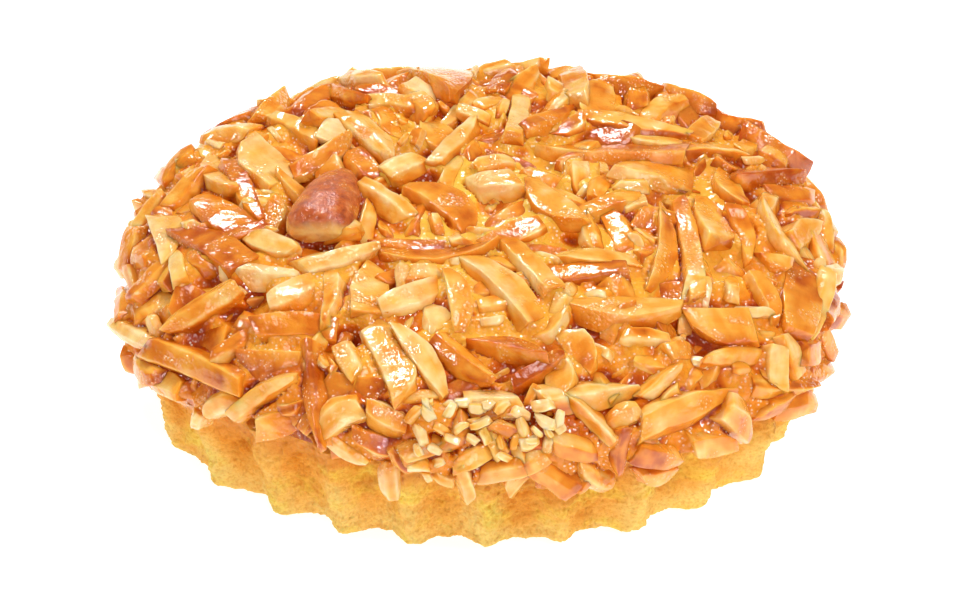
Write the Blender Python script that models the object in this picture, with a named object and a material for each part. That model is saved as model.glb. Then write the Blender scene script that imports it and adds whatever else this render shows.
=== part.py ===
"""Almond tart: an oval fluted crust under a dome of glazed almond slivers.

The origin is the centre of the flat foot, +Z up, +X along the length, and -Y is the side that faces a viewer.
Sizes are in millimetres, and new_object() turns them into the metres of the finished solids.
"""

import math
from typing import NamedTuple

import bmesh
import bpy
import numpy as np
from mathutils import Vector
from mathutils.bvhtree import BVHTree

MM = 0.001
GAP = 0.35
SHORTEST_EDGE = 0.02
CLEANING_ROUNDS = 3

# Seen from above, crust and almonds are ovals a little fuller than an ellipse, whose fullness would be 2.
CRUST_FULLNESS = 2.3
ALMOND_FULLNESS = 2.12

# The crust is an oval frustum, measured over the ridges of its flutes.
FOOT_HALF_LENGTH = 43.4
FOOT_HALF_WIDTH = 37.0
RIM_FLARE = 3.2
RIM_HEIGHT = 15.2
FLUTES = 26
FIRST_FLUTE = -88.5
FLUTE_SPREAD = 0.04
FLUTE_DEPTH = 2.1
FLUTE_SHARPNESS = 1.7
POINTS_PER_FLUTE = 6
FOOT_ROUND = 0.9
RIM_ROUND = 1.1


class Dome(NamedTuple):
    """A boxy oval dome: its half sizes and height where it is widest, and its rise from there to the top."""

    half_length: float
    half_width: float
    widest: float
    rise: float
    squareness: float


# The almonds lie in a domed layer on a bed of caramel and smaller almonds, and hang over the crust's rim.
LAYER = Dome(half_length=49.5, half_width=43.4, widest=13.3, rise=18.7, squareness=3.45)
BED = Dome(half_length=47.6, half_width=41.3, widest=15.0, rise=12.8, squareness=3.3)
PROFILE_STEPS = 240
LIP_SQUARENESS = 2.6
LIP_INNER = 0.93
LIP_LEAST = 0.7
LIP_START = 0.35
CORE_SHARE = 0.5
CORE_DROP = 2.0
BED_SECTORS = 48
DOME_RINGS = 10
LIP_RINGS = 2
BED_BUMP = 0.55

# How the almond pieces lie. None reaches past the top, and none that fills a gap past the tart's outline.
OUTLINE_HALF_LENGTH = 50.2
OUTLINE_HALF_WIDTH = 43.4
TOP_HEIGHT = 33.6
SEED = 41
FILL_COUNT = 112
FILL_MARGIN = 2.2
FILL_LONGEST = 14.0
FILL_SHORTEST = 6.5
FILL_WIDTHS = (2.8, 5.2)
FILL_THICKNESSES = (2.4, 3.6)
FILL_TRIES = 14
SPOT_SHARE = 0.33
SINK = 0.24
STEEPEST = 0.62
STEEPEST_ROLL = 0.45
PRESSED = 0.82
HEADINGS_TRIED = 5
STATIONS = 5
END_SHARE = 0.46
SIDE_SHARE = 0.35
RAY_START = 16.0
NO_SUPPORT = -9.0

# The form of a piece.
MOST_WIDTH_SHARE = 0.6
MOST_SKEW = 0.22
THICKEST_OFF_MIDDLE = 0.15
END_SIZE = 0.7
TOP_NARROWING = 0.82

# The cutter that frees the crust reaches this far under its foot.
CUTTER_FOOT = 4.0

CRUST_COLOUR = (0.62, 0.33, 0.08)
ALMOND_COLOUR = (0.78, 0.36, 0.07)


class Almond(NamedTuple):
    """One piece, placed on the map of the almond layer: x and y are its middle, as distances along the
    surface from the top of the dome, and heading is the direction of its length, in degrees from +X."""

    x: float
    y: float
    heading: float
    length: float
    width: float
    thick: float
    fills: bool = False


# The pieces that can be told apart from the front, largest first in each part of the tart.
FRONT_ALMONDS = (
    Almond(3, -21, -60, 15.0, 5.6, 3.0),
    Almond(-4, -12.3, 2, 16.5, 3.4, 3.2),
    Almond(-17.5, -13, 25, 11.5, 3.8, 3.2),
    Almond(-14, -20, -86, 11.5, 5.4, 2.8),
    Almond(-9, -23, 35, 8.5, 4.6, 3.2),
    Almond(-2.2, -23.5, -82, 11.5, 3.4, 3.0),
    Almond(-11, -34, -72, 13.5, 4.6, 2.8),
    Almond(-6.5, -34, -65, 12.5, 3.6, 3.0),
    Almond(-2, -35, -52, 10.8, 3.8, 3.0),
    Almond(4, -32.2, -22, 10.2, 3.8, 3.0),
    Almond(-22.5, -27.3, -3, 10.8, 3.8, 3.2),
    Almond(-23, -21, 35, 6.5, 5.2, 3.0),
    Almond(-20.6, -39, -88, 15.0, 2.7, 2.4),
    Almond(-27, -36.8, 15, 11.5, 3.2, 2.6),
    Almond(-37, -29.5, -40, 18.5, 3.8, 3.2),
    Almond(-35, -20, 18, 11.5, 4.4, 3.2),
    Almond(-33.5, -9.5, -52, 13.5, 5.0, 3.4),
    Almond(-40.5, -3, -75, 10.5, 4.8, 3.0),
    Almond(-46.5, -20, -52, 13.0, 3.4, 3.0),
    Almond(-51, -9, -68, 11.5, 3.6, 3.0),
    Almond(-17.6, -42.4, 20, 6.4, 5.0, 3.0),
    Almond(-12, -43.3, -30, 5.4, 4.4, 3.0),
    Almond(2, -42, -2, 7.4, 4.8, 3.6),
    Almond(13.4, -39.2, 20, 13.8, 4.6, 3.2),
    Almond(13.5, -42.8, -38, 8.8, 2.9, 2.4),
    Almond(26.6, -40, 30, 15.5, 4.2, 3.0),
    Almond(22, -35.5, 55, 7.4, 2.8, 2.4),
    Almond(31, -29.5, 22, 9.4, 2.8, 2.6),
    Almond(41, -31, 25, 11.5, 3.4, 3.0),
    Almond(17.5, -25.6, 3, 14.4, 5.2, 3.2),
    Almond(30.2, -25, 10, 8.0, 5.2, 3.6),
    Almond(25.6, -11, -88, 21.5, 3.0, 3.2),
    Almond(22.4, -11.5, -98, 17.5, 3.0, 3.2),
    Almond(14.6, -13.2, -5, 12.5, 3.4, 2.8),
    Almond(6.2, -16.8, -63, 12.0, 3.2, 3.0),
    Almond(16.4, -2.6, 28, 10.8, 3.8, 3.2),
    Almond(8.6, -2.4, -60, 13.5, 5.2, 3.0),
    Almond(2, 2.4, -3, 6.8, 4.4, 3.6),
    Almond(29.4, -3.4, -84, 11.5, 5.0, 2.8),
    Almond(38.2, -4, -60, 11.5, 3.2, 3.0),
    Almond(42.6, -1, 60, 8.5, 6.0, 3.4),
    Almond(47.5, -7.5, 55, 14.0, 6.0, 3.0),
)
BACK_ALMONDS = (
    Almond(16.5, 12.4, -3, 21.5, 6.4, 3.2),
    Almond(22.2, 6.8, -8, 10.5, 7.4, 3.4),
    Almond(19.6, 18.8, -22, 16.5, 5.2, 3.2),
    Almond(37, 10.2, 34, 13.0, 4.4, 4.0),
    Almond(-4, 30, 88, 13.0, 9.0, 3.0),
    Almond(2.4, 22, 84, 16.0, 2.9, 3.4),
    Almond(-2.6, 15, 64, 12.5, 3.2, 3.2),
    Almond(-6.6, 21, -76, 10.5, 4.8, 3.8),
    Almond(-14, 16, -60, 13.5, 4.2, 3.2),
    Almond(-20.5, 13.4, 42, 10.5, 4.8, 3.0),
    Almond(-28.6, 10.4, -58, 12.5, 7.0, 3.2),
    Almond(-20, 0.6, -86, 14.0, 7.8, 5.4),
    Almond(-31, 3.6, -78, 17.0, 2.8, 3.0),
    Almond(-12.2, -1, -42, 9.0, 3.4, 3.0),
    Almond(-34.6, 9, -75, 15.0, 2.8, 2.8),
    Almond(27.4, 26, 58, 13.0, 4.4, 3.4),
    Almond(22, 28, 72, 12.0, 4.2, 3.4),
    Almond(9, 19, 45, 10.5, 3.4, 3.0),
    Almond(12.4, 33, -88, 9.0, 4.2, 4.6),
    Almond(19, 32.5, -40, 12.0, 6.0, 3.0),
    Almond(27.5, 30, -50, 9.5, 6.5, 3.6),
    Almond(39.5, 19, -35, 10.0, 6.5, 4.4),
    Almond(29.6, 14.6, 28, 12.5, 5.0, 3.2),
    Almond(46.5, 8, -60, 9.0, 5.0, 3.6),
    Almond(-9, 35, -40, 11.0, 6.0, 3.2),
)


def uneven(angle, size, phase):
    """A smooth wander around the oval, the same on each run."""
    return size * (0.6 * math.sin(3 * angle + phase) + 0.4 * math.sin(5 * angle + 2.3 * phase + 1.1))


def oval(angle, half_length, half_width, fullness=ALMOND_FULLNESS):
    """The point of a full oval in that direction."""
    x, y = math.cos(angle), math.sin(angle)
    bulge = (abs(x) ** fullness + abs(y) ** fullness) ** (-1 / fullness)
    return half_length * bulge * x, half_width * bulge * y


def crust_point(angle, height, inset, gap):
    """A point of the crust's wall: oval, flared with height and fluted. The flutes are as far apart at the
    ends of the oval as at its sides."""
    flare = RIM_FLARE * height / RIM_HEIGHT
    turn = angle - FLUTE_SPREAD * math.sin(2 * angle) + uneven(angle, 0.012, 0.7)
    ridge = (0.5 + 0.5 * math.cos(FLUTES * (turn - math.radians(FIRST_FLUTE)))) ** FLUTE_SHARPNESS
    depth = FLUTE_DEPTH * (1 + uneven(angle, 0.22, 2.0))
    out = flare - depth * (1 - ridge) - inset + gap
    x, y = oval(angle, FOOT_HALF_LENGTH + out, FOOT_HALF_WIDTH + out, CRUST_FULLNESS)
    return Vector((x, y, height))


def lofted(rings):
    """Vertices and faces of a closed solid through rings of points, anticlockwise and from the lowest up."""
    count = len(rings[0])
    points = [point for ring in rings for point in ring]
    faces = [tuple(range(count))[::-1]]
    for level in range(len(rings) - 1):
        low, high = level * count, (level + 1) * count
        for i in range(count):
            j = (i + 1) % count
            faces.append((low + i, low + j, high + j, high + i))
    last = (len(rings) - 1) * count
    faces.append(tuple(range(last, last + count)))
    return points, faces


def crust_solid(gap=0.0, foot=0.0):
    """The crust, or with a gap the space that the almonds leave free round it."""
    count = FLUTES * POINTS_PER_FLUTE
    angles = [2 * math.pi * i / count for i in range(count)]
    levels = (
        (0.0, FOOT_ROUND),
        (FOOT_ROUND, 0.0),
        (0.5 * RIM_HEIGHT, -0.25),
        (RIM_HEIGHT - RIM_ROUND, 0.0),
        (RIM_HEIGHT, RIM_ROUND),
    )
    rings = []
    for height, inset in levels:
        rings.append([crust_point(angle, height, inset, gap) for angle in angles])
    for point in rings[0]:
        point.z -= foot
    for point in rings[-1]:
        point.z += gap
    return lofted(rings)


def lip_depth(angle):
    """How far below the widest level the lip hangs: most at the two ends of the oval."""
    wave = 2.2 + 1.6 * math.cos(2 * angle) + 1.0 * math.cos(4 * angle)
    return max(LIP_LEAST, wave + 0.5 * math.sin(7 * angle + 1.0) + 0.35 * math.sin(13 * angle + 2.0))


def profile(dome):
    """The dome's profile from its top to its widest level: share of the half size, height and arc length."""
    turns = np.linspace(0, math.pi / 2, PROFILE_STEPS)
    share = np.sin(turns) ** (2 / dome.squareness)
    height = dome.widest + dome.rise * np.cos(turns) ** (2 / dome.squareness)
    half = 0.5 * (dome.half_length + dome.half_width)
    along = np.concatenate([[0.0], np.cumsum(np.hypot(np.diff(share) * half, np.diff(height)))])
    return share, height, along


PROFILES = {dome: profile(dome) for dome in (LAYER, BED)}
LAYER_REACH = float(PROFILES[LAYER][2][-1])
BED_REACH = float(PROFILES[BED][2][-1])


def dome_point(dome, x, y):
    """The point of the smooth dome at x, y on its map. Past the widest level it goes straight down."""
    shares, heights, along = PROFILES[dome]
    reach = math.hypot(x, y)
    angle = math.atan2(y, x)
    share = float(np.interp(reach, along, shares))
    height = float(np.interp(reach, along, heights)) - max(0.0, reach - along[-1])
    return Vector((*oval(angle, dome.half_length * share, dome.half_width * share), height))


def dome_frame(dome, x, y, heading=0.0):
    """The dome's point there, with the directions along a piece, across it and out of the dome."""
    step = 0.5
    turn = math.radians(heading)
    ahead = Vector((math.cos(turn), math.sin(turn))) * step
    side = Vector((-ahead.y, ahead.x))
    along = dome_point(dome, x + ahead.x, y + ahead.y) - dome_point(dome, x - ahead.x, y - ahead.y)
    across = dome_point(dome, x + side.x, y + side.y) - dome_point(dome, x - side.x, y - side.y)
    out = along.cross(across).normalized()
    along.normalize()
    return dome_point(dome, x, y), along, out.cross(along), out


def bed_ring(angles, share, drop):
    """A ring of the bed under its widest level. Its drop is the share of the lip's depth it has reached."""
    ring = []
    for angle in angles:
        x, y = oval(angle, BED.half_length * share, BED.half_width * share)
        ring.append(Vector((x, y, BED.widest - lip_depth(angle) * drop)))
    return ring


def bed_core(angles):
    """The ring that closes the bed inside the crust, where the crust is later cut out of it."""
    ring = bed_ring(angles, CORE_SHARE, 0.0)
    for point in ring:
        point.z -= CORE_DROP
    return ring


def bed_bump(x, y):
    """How far the bed stands proud at x, y on its map."""
    return BED_BUMP * (math.sin(0.55 * x + 1.3) * math.sin(0.61 * y) + 0.6 * math.sin(1.05 * x - 0.4 * y))


def bed_solid():
    """The bumpy dome with its lip, from the core ring up to the top."""
    angles = [2 * math.pi * i / BED_SECTORS for i in range(BED_SECTORS)]
    rings = [bed_core(angles), bed_ring(angles, LIP_INNER, 1.0)]
    for level in range(LIP_RINGS):
        turn = 0.5 * math.pi * (1 - (level + LIP_START) / (LIP_RINGS + LIP_START))
        share = max(LIP_INNER + 0.01, math.cos(turn) ** (2 / LIP_SQUARENESS))
        rings.append(bed_ring(angles, share, math.sin(turn) ** (2 / LIP_SQUARENESS)))
    for level in range(DOME_RINGS):
        reach = BED_REACH * (1 - level / DOME_RINGS)
        ring = []
        for angle in angles:
            x, y = reach * math.cos(angle), reach * math.sin(angle)
            point, _, _, out = dome_frame(BED, x, y)
            ring.append(point + out * bed_bump(x, y))
        rings.append(ring)
    return lofted(rings)


class Box(NamedTuple):
    """A placed piece, for what later pieces rest on."""

    middle: np.ndarray
    axes: np.ndarray
    half: np.ndarray


def box_height(start, down, boxes):
    """How far down a ray meets the first box, or infinity."""
    if not boxes:
        return math.inf
    middles = np.array([box.middle for box in boxes])
    axes = np.array([box.axes for box in boxes])
    halves = np.array([box.half for box in boxes])
    place = np.einsum("nij,nj->ni", axes, np.array(start) - middles)
    way = axes @ np.array(down)
    way = np.where(np.abs(way) < 1e-9, 1e-9, way)
    near = (-halves - place) / way
    far = (halves - place) / way
    enter = np.minimum(near, far).max(axis=1)
    leave = np.maximum(near, far).min(axis=1)
    met = (leave >= enter) & (enter > 0)
    return float(enter[met].min()) if met.any() else math.inf


def rest_heights(piece, frame, bed, boxes):
    """Heights over the tangent plane of what lies under the piece, on a grid of its length and width."""
    point, along, across, out = frame
    lengths = np.linspace(-END_SHARE, END_SHARE, STATIONS) * piece.length
    widths = np.array([-SIDE_SHARE, 0.0, SIDE_SHARE]) * piece.width
    heights = np.full((STATIONS, 3), NO_SUPPORT)
    for i, u in enumerate(lengths):
        for j, v in enumerate(widths):
            start = point + along * u + across * v + out * RAY_START
            fall = box_height(start, -out, boxes)
            hit = bed.ray_cast(start, -out)[3]
            if hit is not None:
                fall = min(fall, hit)
            heights[i, j] = max(NO_SUPPORT, RAY_START - fall)
    return lengths, widths, heights


def resting_slope(lengths, tops):
    """The slope of the line on the tops that is lowest at the middle, like a stick on two supports."""
    best, slope = math.inf, 0.0
    for i in range(len(lengths)):
        for j in range(len(lengths)):
            if not lengths[i] < 0 <= lengths[j]:
                continue
            tilt = (tops[j] - tops[i]) / (lengths[j] - lengths[i])
            level = (tops - tilt * lengths).max()
            if level < best:
                best, slope = level, tilt
    return slope


def settle(piece, bed, boxes):
    """A piece laid on the bed and on the pieces already there, sunk a little into them: how hollow it
    lies, its middle and its axes."""
    point, along, across, out = frame = dome_frame(LAYER, piece.x, piece.y, piece.heading)
    lengths, widths, heights = rest_heights(piece, frame, bed, boxes)
    pitch = float(np.clip(resting_slope(lengths, heights.max(axis=1)), -STEEPEST, STEEPEST))
    lean = (heights[:, 2] - heights[:, 0]).mean() / (widths[2] - widths[0])
    roll = float(np.clip(lean, -STEEPEST_ROLL, STEEPEST_ROLL))
    over_plane = heights - pitch * lengths[:, None] - roll * widths[None, :]
    level = float(np.quantile(over_plane, PRESSED))
    forward = (along + out * pitch).normalized()
    sideways = (across + out * roll).normalized()
    up = forward.cross(sideways).normalized()
    sideways = up.cross(forward)
    middle = point + out * level + up * piece.thick * (0.5 - SINK)
    rise = 0.5 * (piece.thick + piece.length * abs(forward.z))
    middle.z = min(middle.z, TOP_HEIGHT - rise)
    hollow = float((level - over_plane).mean())
    return hollow, middle, (forward, sideways, up)


def lie_lowest(piece, bed, boxes):
    """Settles a piece. One that fills a gap is first turned to where it leaves the least hollow under it."""
    turns = [180 * k / HEADINGS_TRIED for k in range(HEADINGS_TRIED if piece.fills else 1)]
    settled = [settle(piece._replace(heading=piece.heading + turn), bed, boxes) for turn in turns]
    _, middle, axes = min(settled, key=lambda result: result[0])
    return middle, axes


def sticks_out(middle, axes, half):
    """Whether an end of a piece reaches past the tart's outline or top."""
    ends = [middle + axes[0] * half[0] * way for way in (-1, 1)]
    for end in ends:
        angle = math.atan2(end.y / OUTLINE_HALF_WIDTH, end.x / OUTLINE_HALF_LENGTH)
        edge = Vector(oval(angle, OUTLINE_HALF_LENGTH, OUTLINE_HALF_WIDTH))
        if end.xy.length > edge.length or end.z + half[2] > TOP_HEIGHT:
            return True
    return False


def spots_of(piece):
    """Three points along the middle of a piece, on the map."""
    turn = math.radians(piece.heading)
    reach = SPOT_SHARE * piece.length * np.array([math.cos(turn), math.sin(turn)])
    middle = np.array([piece.x, piece.y])
    return [middle - reach, middle, middle + reach]


def gap_fillers(rng, shown):
    """Pieces that fill what the hand-placed ones leave bare: the longest come first, and each goes to the
    barest of a few random places."""
    spots = np.array([spot for piece in shown for spot in spots_of(piece)])
    found = []
    for i in range(FILL_COUNT):
        tries = rng.random((FILL_TRIES, 2))
        turns = 2 * math.pi * tries[:, 1]
        furthest = np.array([LAYER_REACH + lip_depth(turn) - FILL_MARGIN for turn in turns])
        reach = furthest * np.sqrt(tries[:, 0])
        places = np.stack([reach * np.cos(turns), reach * np.sin(turns)], axis=1)
        bare = np.linalg.norm(places[:, None] - spots[None], axis=2).min(axis=1)
        x, y = places[bare.argmax()]
        done = i / (FILL_COUNT - 1)
        length = (FILL_LONGEST + (FILL_SHORTEST - FILL_LONGEST) * done) * rng.uniform(0.9, 1.1)
        width = min(MOST_WIDTH_SHARE * length, rng.uniform(*FILL_WIDTHS))
        thick = rng.uniform(*FILL_THICKNESSES)
        found.append(Almond(x, y, rng.uniform(-90, 90), length, width, thick, fills=True))
        spots = np.concatenate([spots, [(x, y)]])
    return found


def piece_solid(piece, rng):
    """A cut almond: four-sided, a little narrower on top, thinner to its ends, which are cut off aslant."""
    skew = rng.uniform(-MOST_SKEW, MOST_SKEW)
    thickest = rng.uniform(-THICKEST_OFF_MIDDLE, THICKEST_OFF_MIDDLE)
    stations = ((-0.5, END_SIZE, skew), (thickest, 1.0, 0.0), (0.5, END_SIZE, skew))
    rings = []
    for share, size, slant in stations:
        half_width = 0.5 * piece.width * size
        half_thick = 0.5 * piece.thick * size
        ring = []
        for side, level in ((-1, -1), (1, -1), (TOP_NARROWING, 1), (-TOP_NARROWING, 1)):
            u = share * piece.length + slant * side * half_width
            ring.append(Vector((u, side * half_width, level * half_thick)))
        rings.append(ring)
    return lofted(rings)


def new_object(name, points, faces):
    mesh = bpy.data.meshes.new(name)
    mesh.from_pydata([point * MM for point in points], [], faces)
    shape = bmesh.new()
    shape.from_mesh(mesh)
    bmesh.ops.recalc_face_normals(shape, faces=shape.faces)
    shape.to_mesh(mesh)
    shape.free()
    return bpy.data.objects.new(name, mesh)


def apply_boolean(target, operation, **operand):
    """Applies one Boolean to the target's mesh."""
    cut = target.modifiers.new(operation.lower(), "BOOLEAN")
    cut.operation = operation
    cut.solver = "MANIFOLD"
    for key, value in operand.items():
        setattr(cut, key, value)
    bpy.context.view_layer.update()
    graph = bpy.context.evaluated_depsgraph_get()
    mesh = bpy.data.meshes.new_from_object(target.evaluated_get(graph))
    target.modifiers.clear()
    target.data = mesh


def bodies_of(shape):
    """The faces of each body, parted where more than two faces meet at an edge."""
    bodies = []
    free = set(shape.faces)
    while free:
        body = set()
        front = [free.pop()]
        while front:
            face = front.pop()
            body.add(face)
            for edge in face.edges:
                others = [other for other in edge.link_faces if other in free]
                if len(edge.link_faces) == 2 and others:
                    free.discard(others[0])
                    front.append(others[0])
        bodies.append(body)
    return bodies


def keep_largest_body(target):
    """Fills sealed hollows, drops loose scraps and closes up edges at which the body touches itself."""
    shape = bmesh.new()
    shape.from_mesh(target.data)
    for _ in range(CLEANING_ROUNDS):
        bmesh.ops.triangulate(shape, faces=shape.faces)
        bmesh.ops.remove_doubles(shape, verts=shape.verts, dist=SHORTEST_EDGE * MM)
        bmesh.ops.dissolve_degenerate(shape, edges=shape.edges, dist=SHORTEST_EDGE * MM)
        bmesh.ops.triangulate(shape, faces=shape.faces)
        bodies = bodies_of(shape)
        largest = max(bodies, key=len)
        loose = [face for body in bodies if body is not largest for face in body]
        bmesh.ops.delete(shape, geom=loose, context="FACES")
        rims = [edge for edge in shape.edges if edge.is_boundary]
        bmesh.ops.holes_fill(shape, edges=rims, sides=0)
        touching = [edge for edge in shape.edges if len(edge.link_faces) > 2]
        bmesh.ops.collapse(shape, edges=touching)
    bmesh.ops.triangulate(shape, faces=shape.faces)
    bmesh.ops.recalc_face_normals(shape, faces=shape.faces)
    shape.to_mesh(target.data)
    shape.free()


def material(name, colour, roughness):
    made = bpy.data.materials.new(name)
    made.use_nodes = True
    shader = made.node_tree.nodes["Principled BSDF"]
    shader.inputs["Base Color"].default_value = (*colour, 1.0)
    shader.inputs["Roughness"].default_value = roughness
    return made


def make_crust(scene):
    crust = new_object("crust", *crust_solid())
    crust.data.materials.append(material("baked_pastry", CRUST_COLOUR, 0.7))
    scene.objects.link(crust)


def make_topping(scene):
    points, faces = bed_solid()
    topping = new_object("almond_topping", points, faces)
    scene.objects.link(topping)
    bed = BVHTree.FromPolygons(points, faces)
    rng = np.random.default_rng(SEED)
    shown = FRONT_ALMONDS + BACK_ALMONDS
    heap = bpy.data.collections.new("heap")
    scene.children.link(heap)
    boxes = []
    for i, piece in enumerate(gap_fillers(rng, shown) + list(shown)):
        middle, axes = lie_lowest(piece, bed, boxes)
        half = 0.5 * np.array([piece.length, piece.width, piece.thick])
        if piece.fills and sticks_out(middle, axes, half):
            continue
        boxes.append(Box(np.array(middle), np.array([tuple(axis) for axis in axes]), half))
        points, faces = piece_solid(piece, rng)
        placed = [middle + axes[0] * p.x + axes[1] * p.y + axes[2] * p.z for p in points]
        heap.objects.link(new_object(f"almond_{i:03d}", placed, faces))
    apply_boolean(topping, "UNION", operand_type="COLLECTION", collection=heap)
    for piece in list(heap.objects):
        bpy.data.objects.remove(piece)
    bpy.data.collections.remove(heap)
    space = new_object("crust_space", *crust_solid(gap=GAP, foot=CUTTER_FOOT))
    scene.objects.link(space)
    apply_boolean(topping, "DIFFERENCE", object=space)
    bpy.data.objects.remove(space)
    keep_largest_body(topping)
    topping.data.materials.clear()
    topping.data.materials.append(material("glazed_almond", ALMOND_COLOUR, 0.25))


def main():
    for old in list(bpy.data.objects):
        bpy.data.objects.remove(old)
    scene = bpy.context.scene.collection
    make_crust(scene)
    make_topping(scene)


main()
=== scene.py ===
"""Looks of the almond tart: glazed almonds heaped on caramel, in a fluted crust.

The almonds lie on a map of the domed layer: x and y are distances along its surface from the top of the
dome. Each almond is settled on the heights of what already lies there. Sizes are in millimetres, and
Meshing.build() turns them into metres. The random draws and the noise start from a seed, so each run gives
the same tart.
"""

import math
from typing import NamedTuple

import bpy
import numpy as np
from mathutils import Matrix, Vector, noise
from mathutils.bvhtree import BVHTree

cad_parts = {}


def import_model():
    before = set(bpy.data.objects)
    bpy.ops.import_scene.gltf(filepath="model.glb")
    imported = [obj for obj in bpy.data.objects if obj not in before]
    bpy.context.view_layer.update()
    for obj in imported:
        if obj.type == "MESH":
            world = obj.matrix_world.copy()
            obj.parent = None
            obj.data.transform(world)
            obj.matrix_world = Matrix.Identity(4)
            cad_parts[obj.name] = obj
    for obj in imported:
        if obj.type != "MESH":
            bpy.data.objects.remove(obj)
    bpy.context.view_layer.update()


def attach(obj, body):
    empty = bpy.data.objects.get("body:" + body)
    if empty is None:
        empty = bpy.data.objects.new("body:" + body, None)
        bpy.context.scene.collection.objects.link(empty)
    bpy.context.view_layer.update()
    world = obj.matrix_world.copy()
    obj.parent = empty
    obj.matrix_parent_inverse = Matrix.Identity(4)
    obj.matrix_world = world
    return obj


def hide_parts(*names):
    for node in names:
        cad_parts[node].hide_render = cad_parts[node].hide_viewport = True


MM = 0.001
SEED = 43

# The camera stands as the photograph's did.
CAMERA_ELEVATION = 38.0
CAMERA_DISTANCE = 0.5
CAMERA_LENS = 135.0
CAMERA_AIM_HEIGHT = 0.0137

# Seen from above, crust and almond layer are ovals a little fuller than an ellipse, which would have 2.
CRUST_FULLNESS = 2.3
ALMOND_FULLNESS = 2.12

# The crust, as its solid has it.
FOOT_HALF_LENGTH = 43.4
FOOT_HALF_WIDTH = 37.0
RIM_FLARE = 3.2
RIM_HEIGHT = 15.2
FLUTES = 26
FIRST_FLUTE = -88.5
FLUTE_SPREAD = 0.04
FLUTE_DEPTH = 2.1
FLUTE_SHARPNESS = 1.7
FLUTE_WANDER = 0.012
FLUTE_UNEVEN = 0.22
FOOT_ROUND = 0.8

# The finish of the crust: its ragged foot, the relief of crumbs, pits and swellings, and the shares of its
# outline at which its top and its underside close.
CRUST_SECTORS = 1240
CRUST_LEVELS = 66
FOOT_RAGGED = 1.3
FOOT_RAISED = 0.15
CRUMB_RELIEF = 0.42
PIT_RELIEF = 0.50
SWELL_RELIEF = 0.8
ON_FLOOR = 0.01
TOP_RINGS = (0.9, 0.6)
UNDERSIDE_RINGS = (0.95, 0.6)
RAGGED_FROM = 0.96

# Where the crust's wall shows further up: the direction in degrees, how much further, and over how many
# degrees. The crust's rim and the caramel's underside climb by a share of it.
BARE_WALL = ((-122.0, 6.0, 19.0), (-53.0, 3.0, 12.0), (-92.0, 1.2, 14.0))
RIM_CLIMB = 0.45

# Where the crust's wall stands a little further out or in: the direction, how far, and over how many degrees.
WALL_SWELLS = ((-155.0, 1.3, 9.0), (-76.0, -0.7, 18.0), (-126.0, -0.6, 8.0), (-27.0, 1.0, 9.0))


class Dome(NamedTuple):
    """A boxy oval dome: its half sizes and height where it is widest, and its rise from there to the top."""

    half_length: float
    half_width: float
    widest: float
    rise: float
    squareness: float


LAYER = Dome(half_length=49.5, half_width=43.4, widest=13.3, rise=18.7, squareness=3.45)
PROFILE_STEPS = 240
TOP_HEIGHT = 33.6
OUTLINE_HALF_LENGTH = 51.6
OUTLINE_HALF_WIDTH = 44.2
OUTLINE_MIDDLE = -0.6

# The ground that almonds land on, as heights over the layer's middle surface on a grid of its map.
CELL = 0.5
MAP_HALF = 68.0
BED_DEPTH_TOP = 5.6
BED_DEPTH_SIDE = 3.0
BED_BUMPS = 0.4
BED_LIFT = 1.7
LOWEST_GROUND = -6.0

# How the almonds settle: the share of the ground under a piece that stays below it, how deep it sinks in
# shares of its thickness, its steepest slopes, the shares of its length and width that lie on the ground, and
# the stations along it at which it may be propped up.
PRESSED = 0.86
SINK = 0.2
STEEPEST = 0.5
STEEPEST_SHOWN = 0.16
LYING_LENGTH = 0.47
LYING_WIDTH = 0.40
STATIONS = 5
STATION_LEVEL = 0.8
NO_GROUND = -9.0

# How low and how high over the layer a shown piece may top, and what the rim and its thickness add to that.
SHOWN_LOWEST = -0.5
SHOWN_HIGHEST = 0.6
SKINNED_HIGHEST = 3.6
TIP_TOP_HEIGHT = 34.9
RIM_RISE = 0.8
RIM_START = 0.72
RIM_END = 0.90
THICK_RISE = 0.8
USUAL_THICK = 3.2

# How far the corners of a shown piece may reach past the tart's outline, and the steps that draw it in.
CORNERS = ((-1, -1), (-1, 1), (1, -1), (1, 1))
CORNER_SHARE = 0.95
SHOWN_MARGIN = 0.6
DRAWN_IN = 0.5
DRAWN_STEPS = 12

# Where a laid piece raises the ground, in shares of its sizes, and how squarely it has to face outwards for
# that. A piece that is on top in fewer cells than the least is left out.
RAISED_LENGTH = 0.48
RAISED_WIDTH = 0.46
RAISED_HEIGHT = 0.46
LEAST_FACING = 0.3
LEAST_CELLS = 3


class Almond(NamedTuple):
    """One piece: its middle on the map, the heading of its length in degrees from +X, its sizes, how toasted
    it is from 0 (cream) to 1 (red-brown), and its form."""

    x: float
    y: float
    heading: float
    length: float
    width: float
    thick: float
    tone: float
    form: str = "stick"
    fills: bool = False


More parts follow.
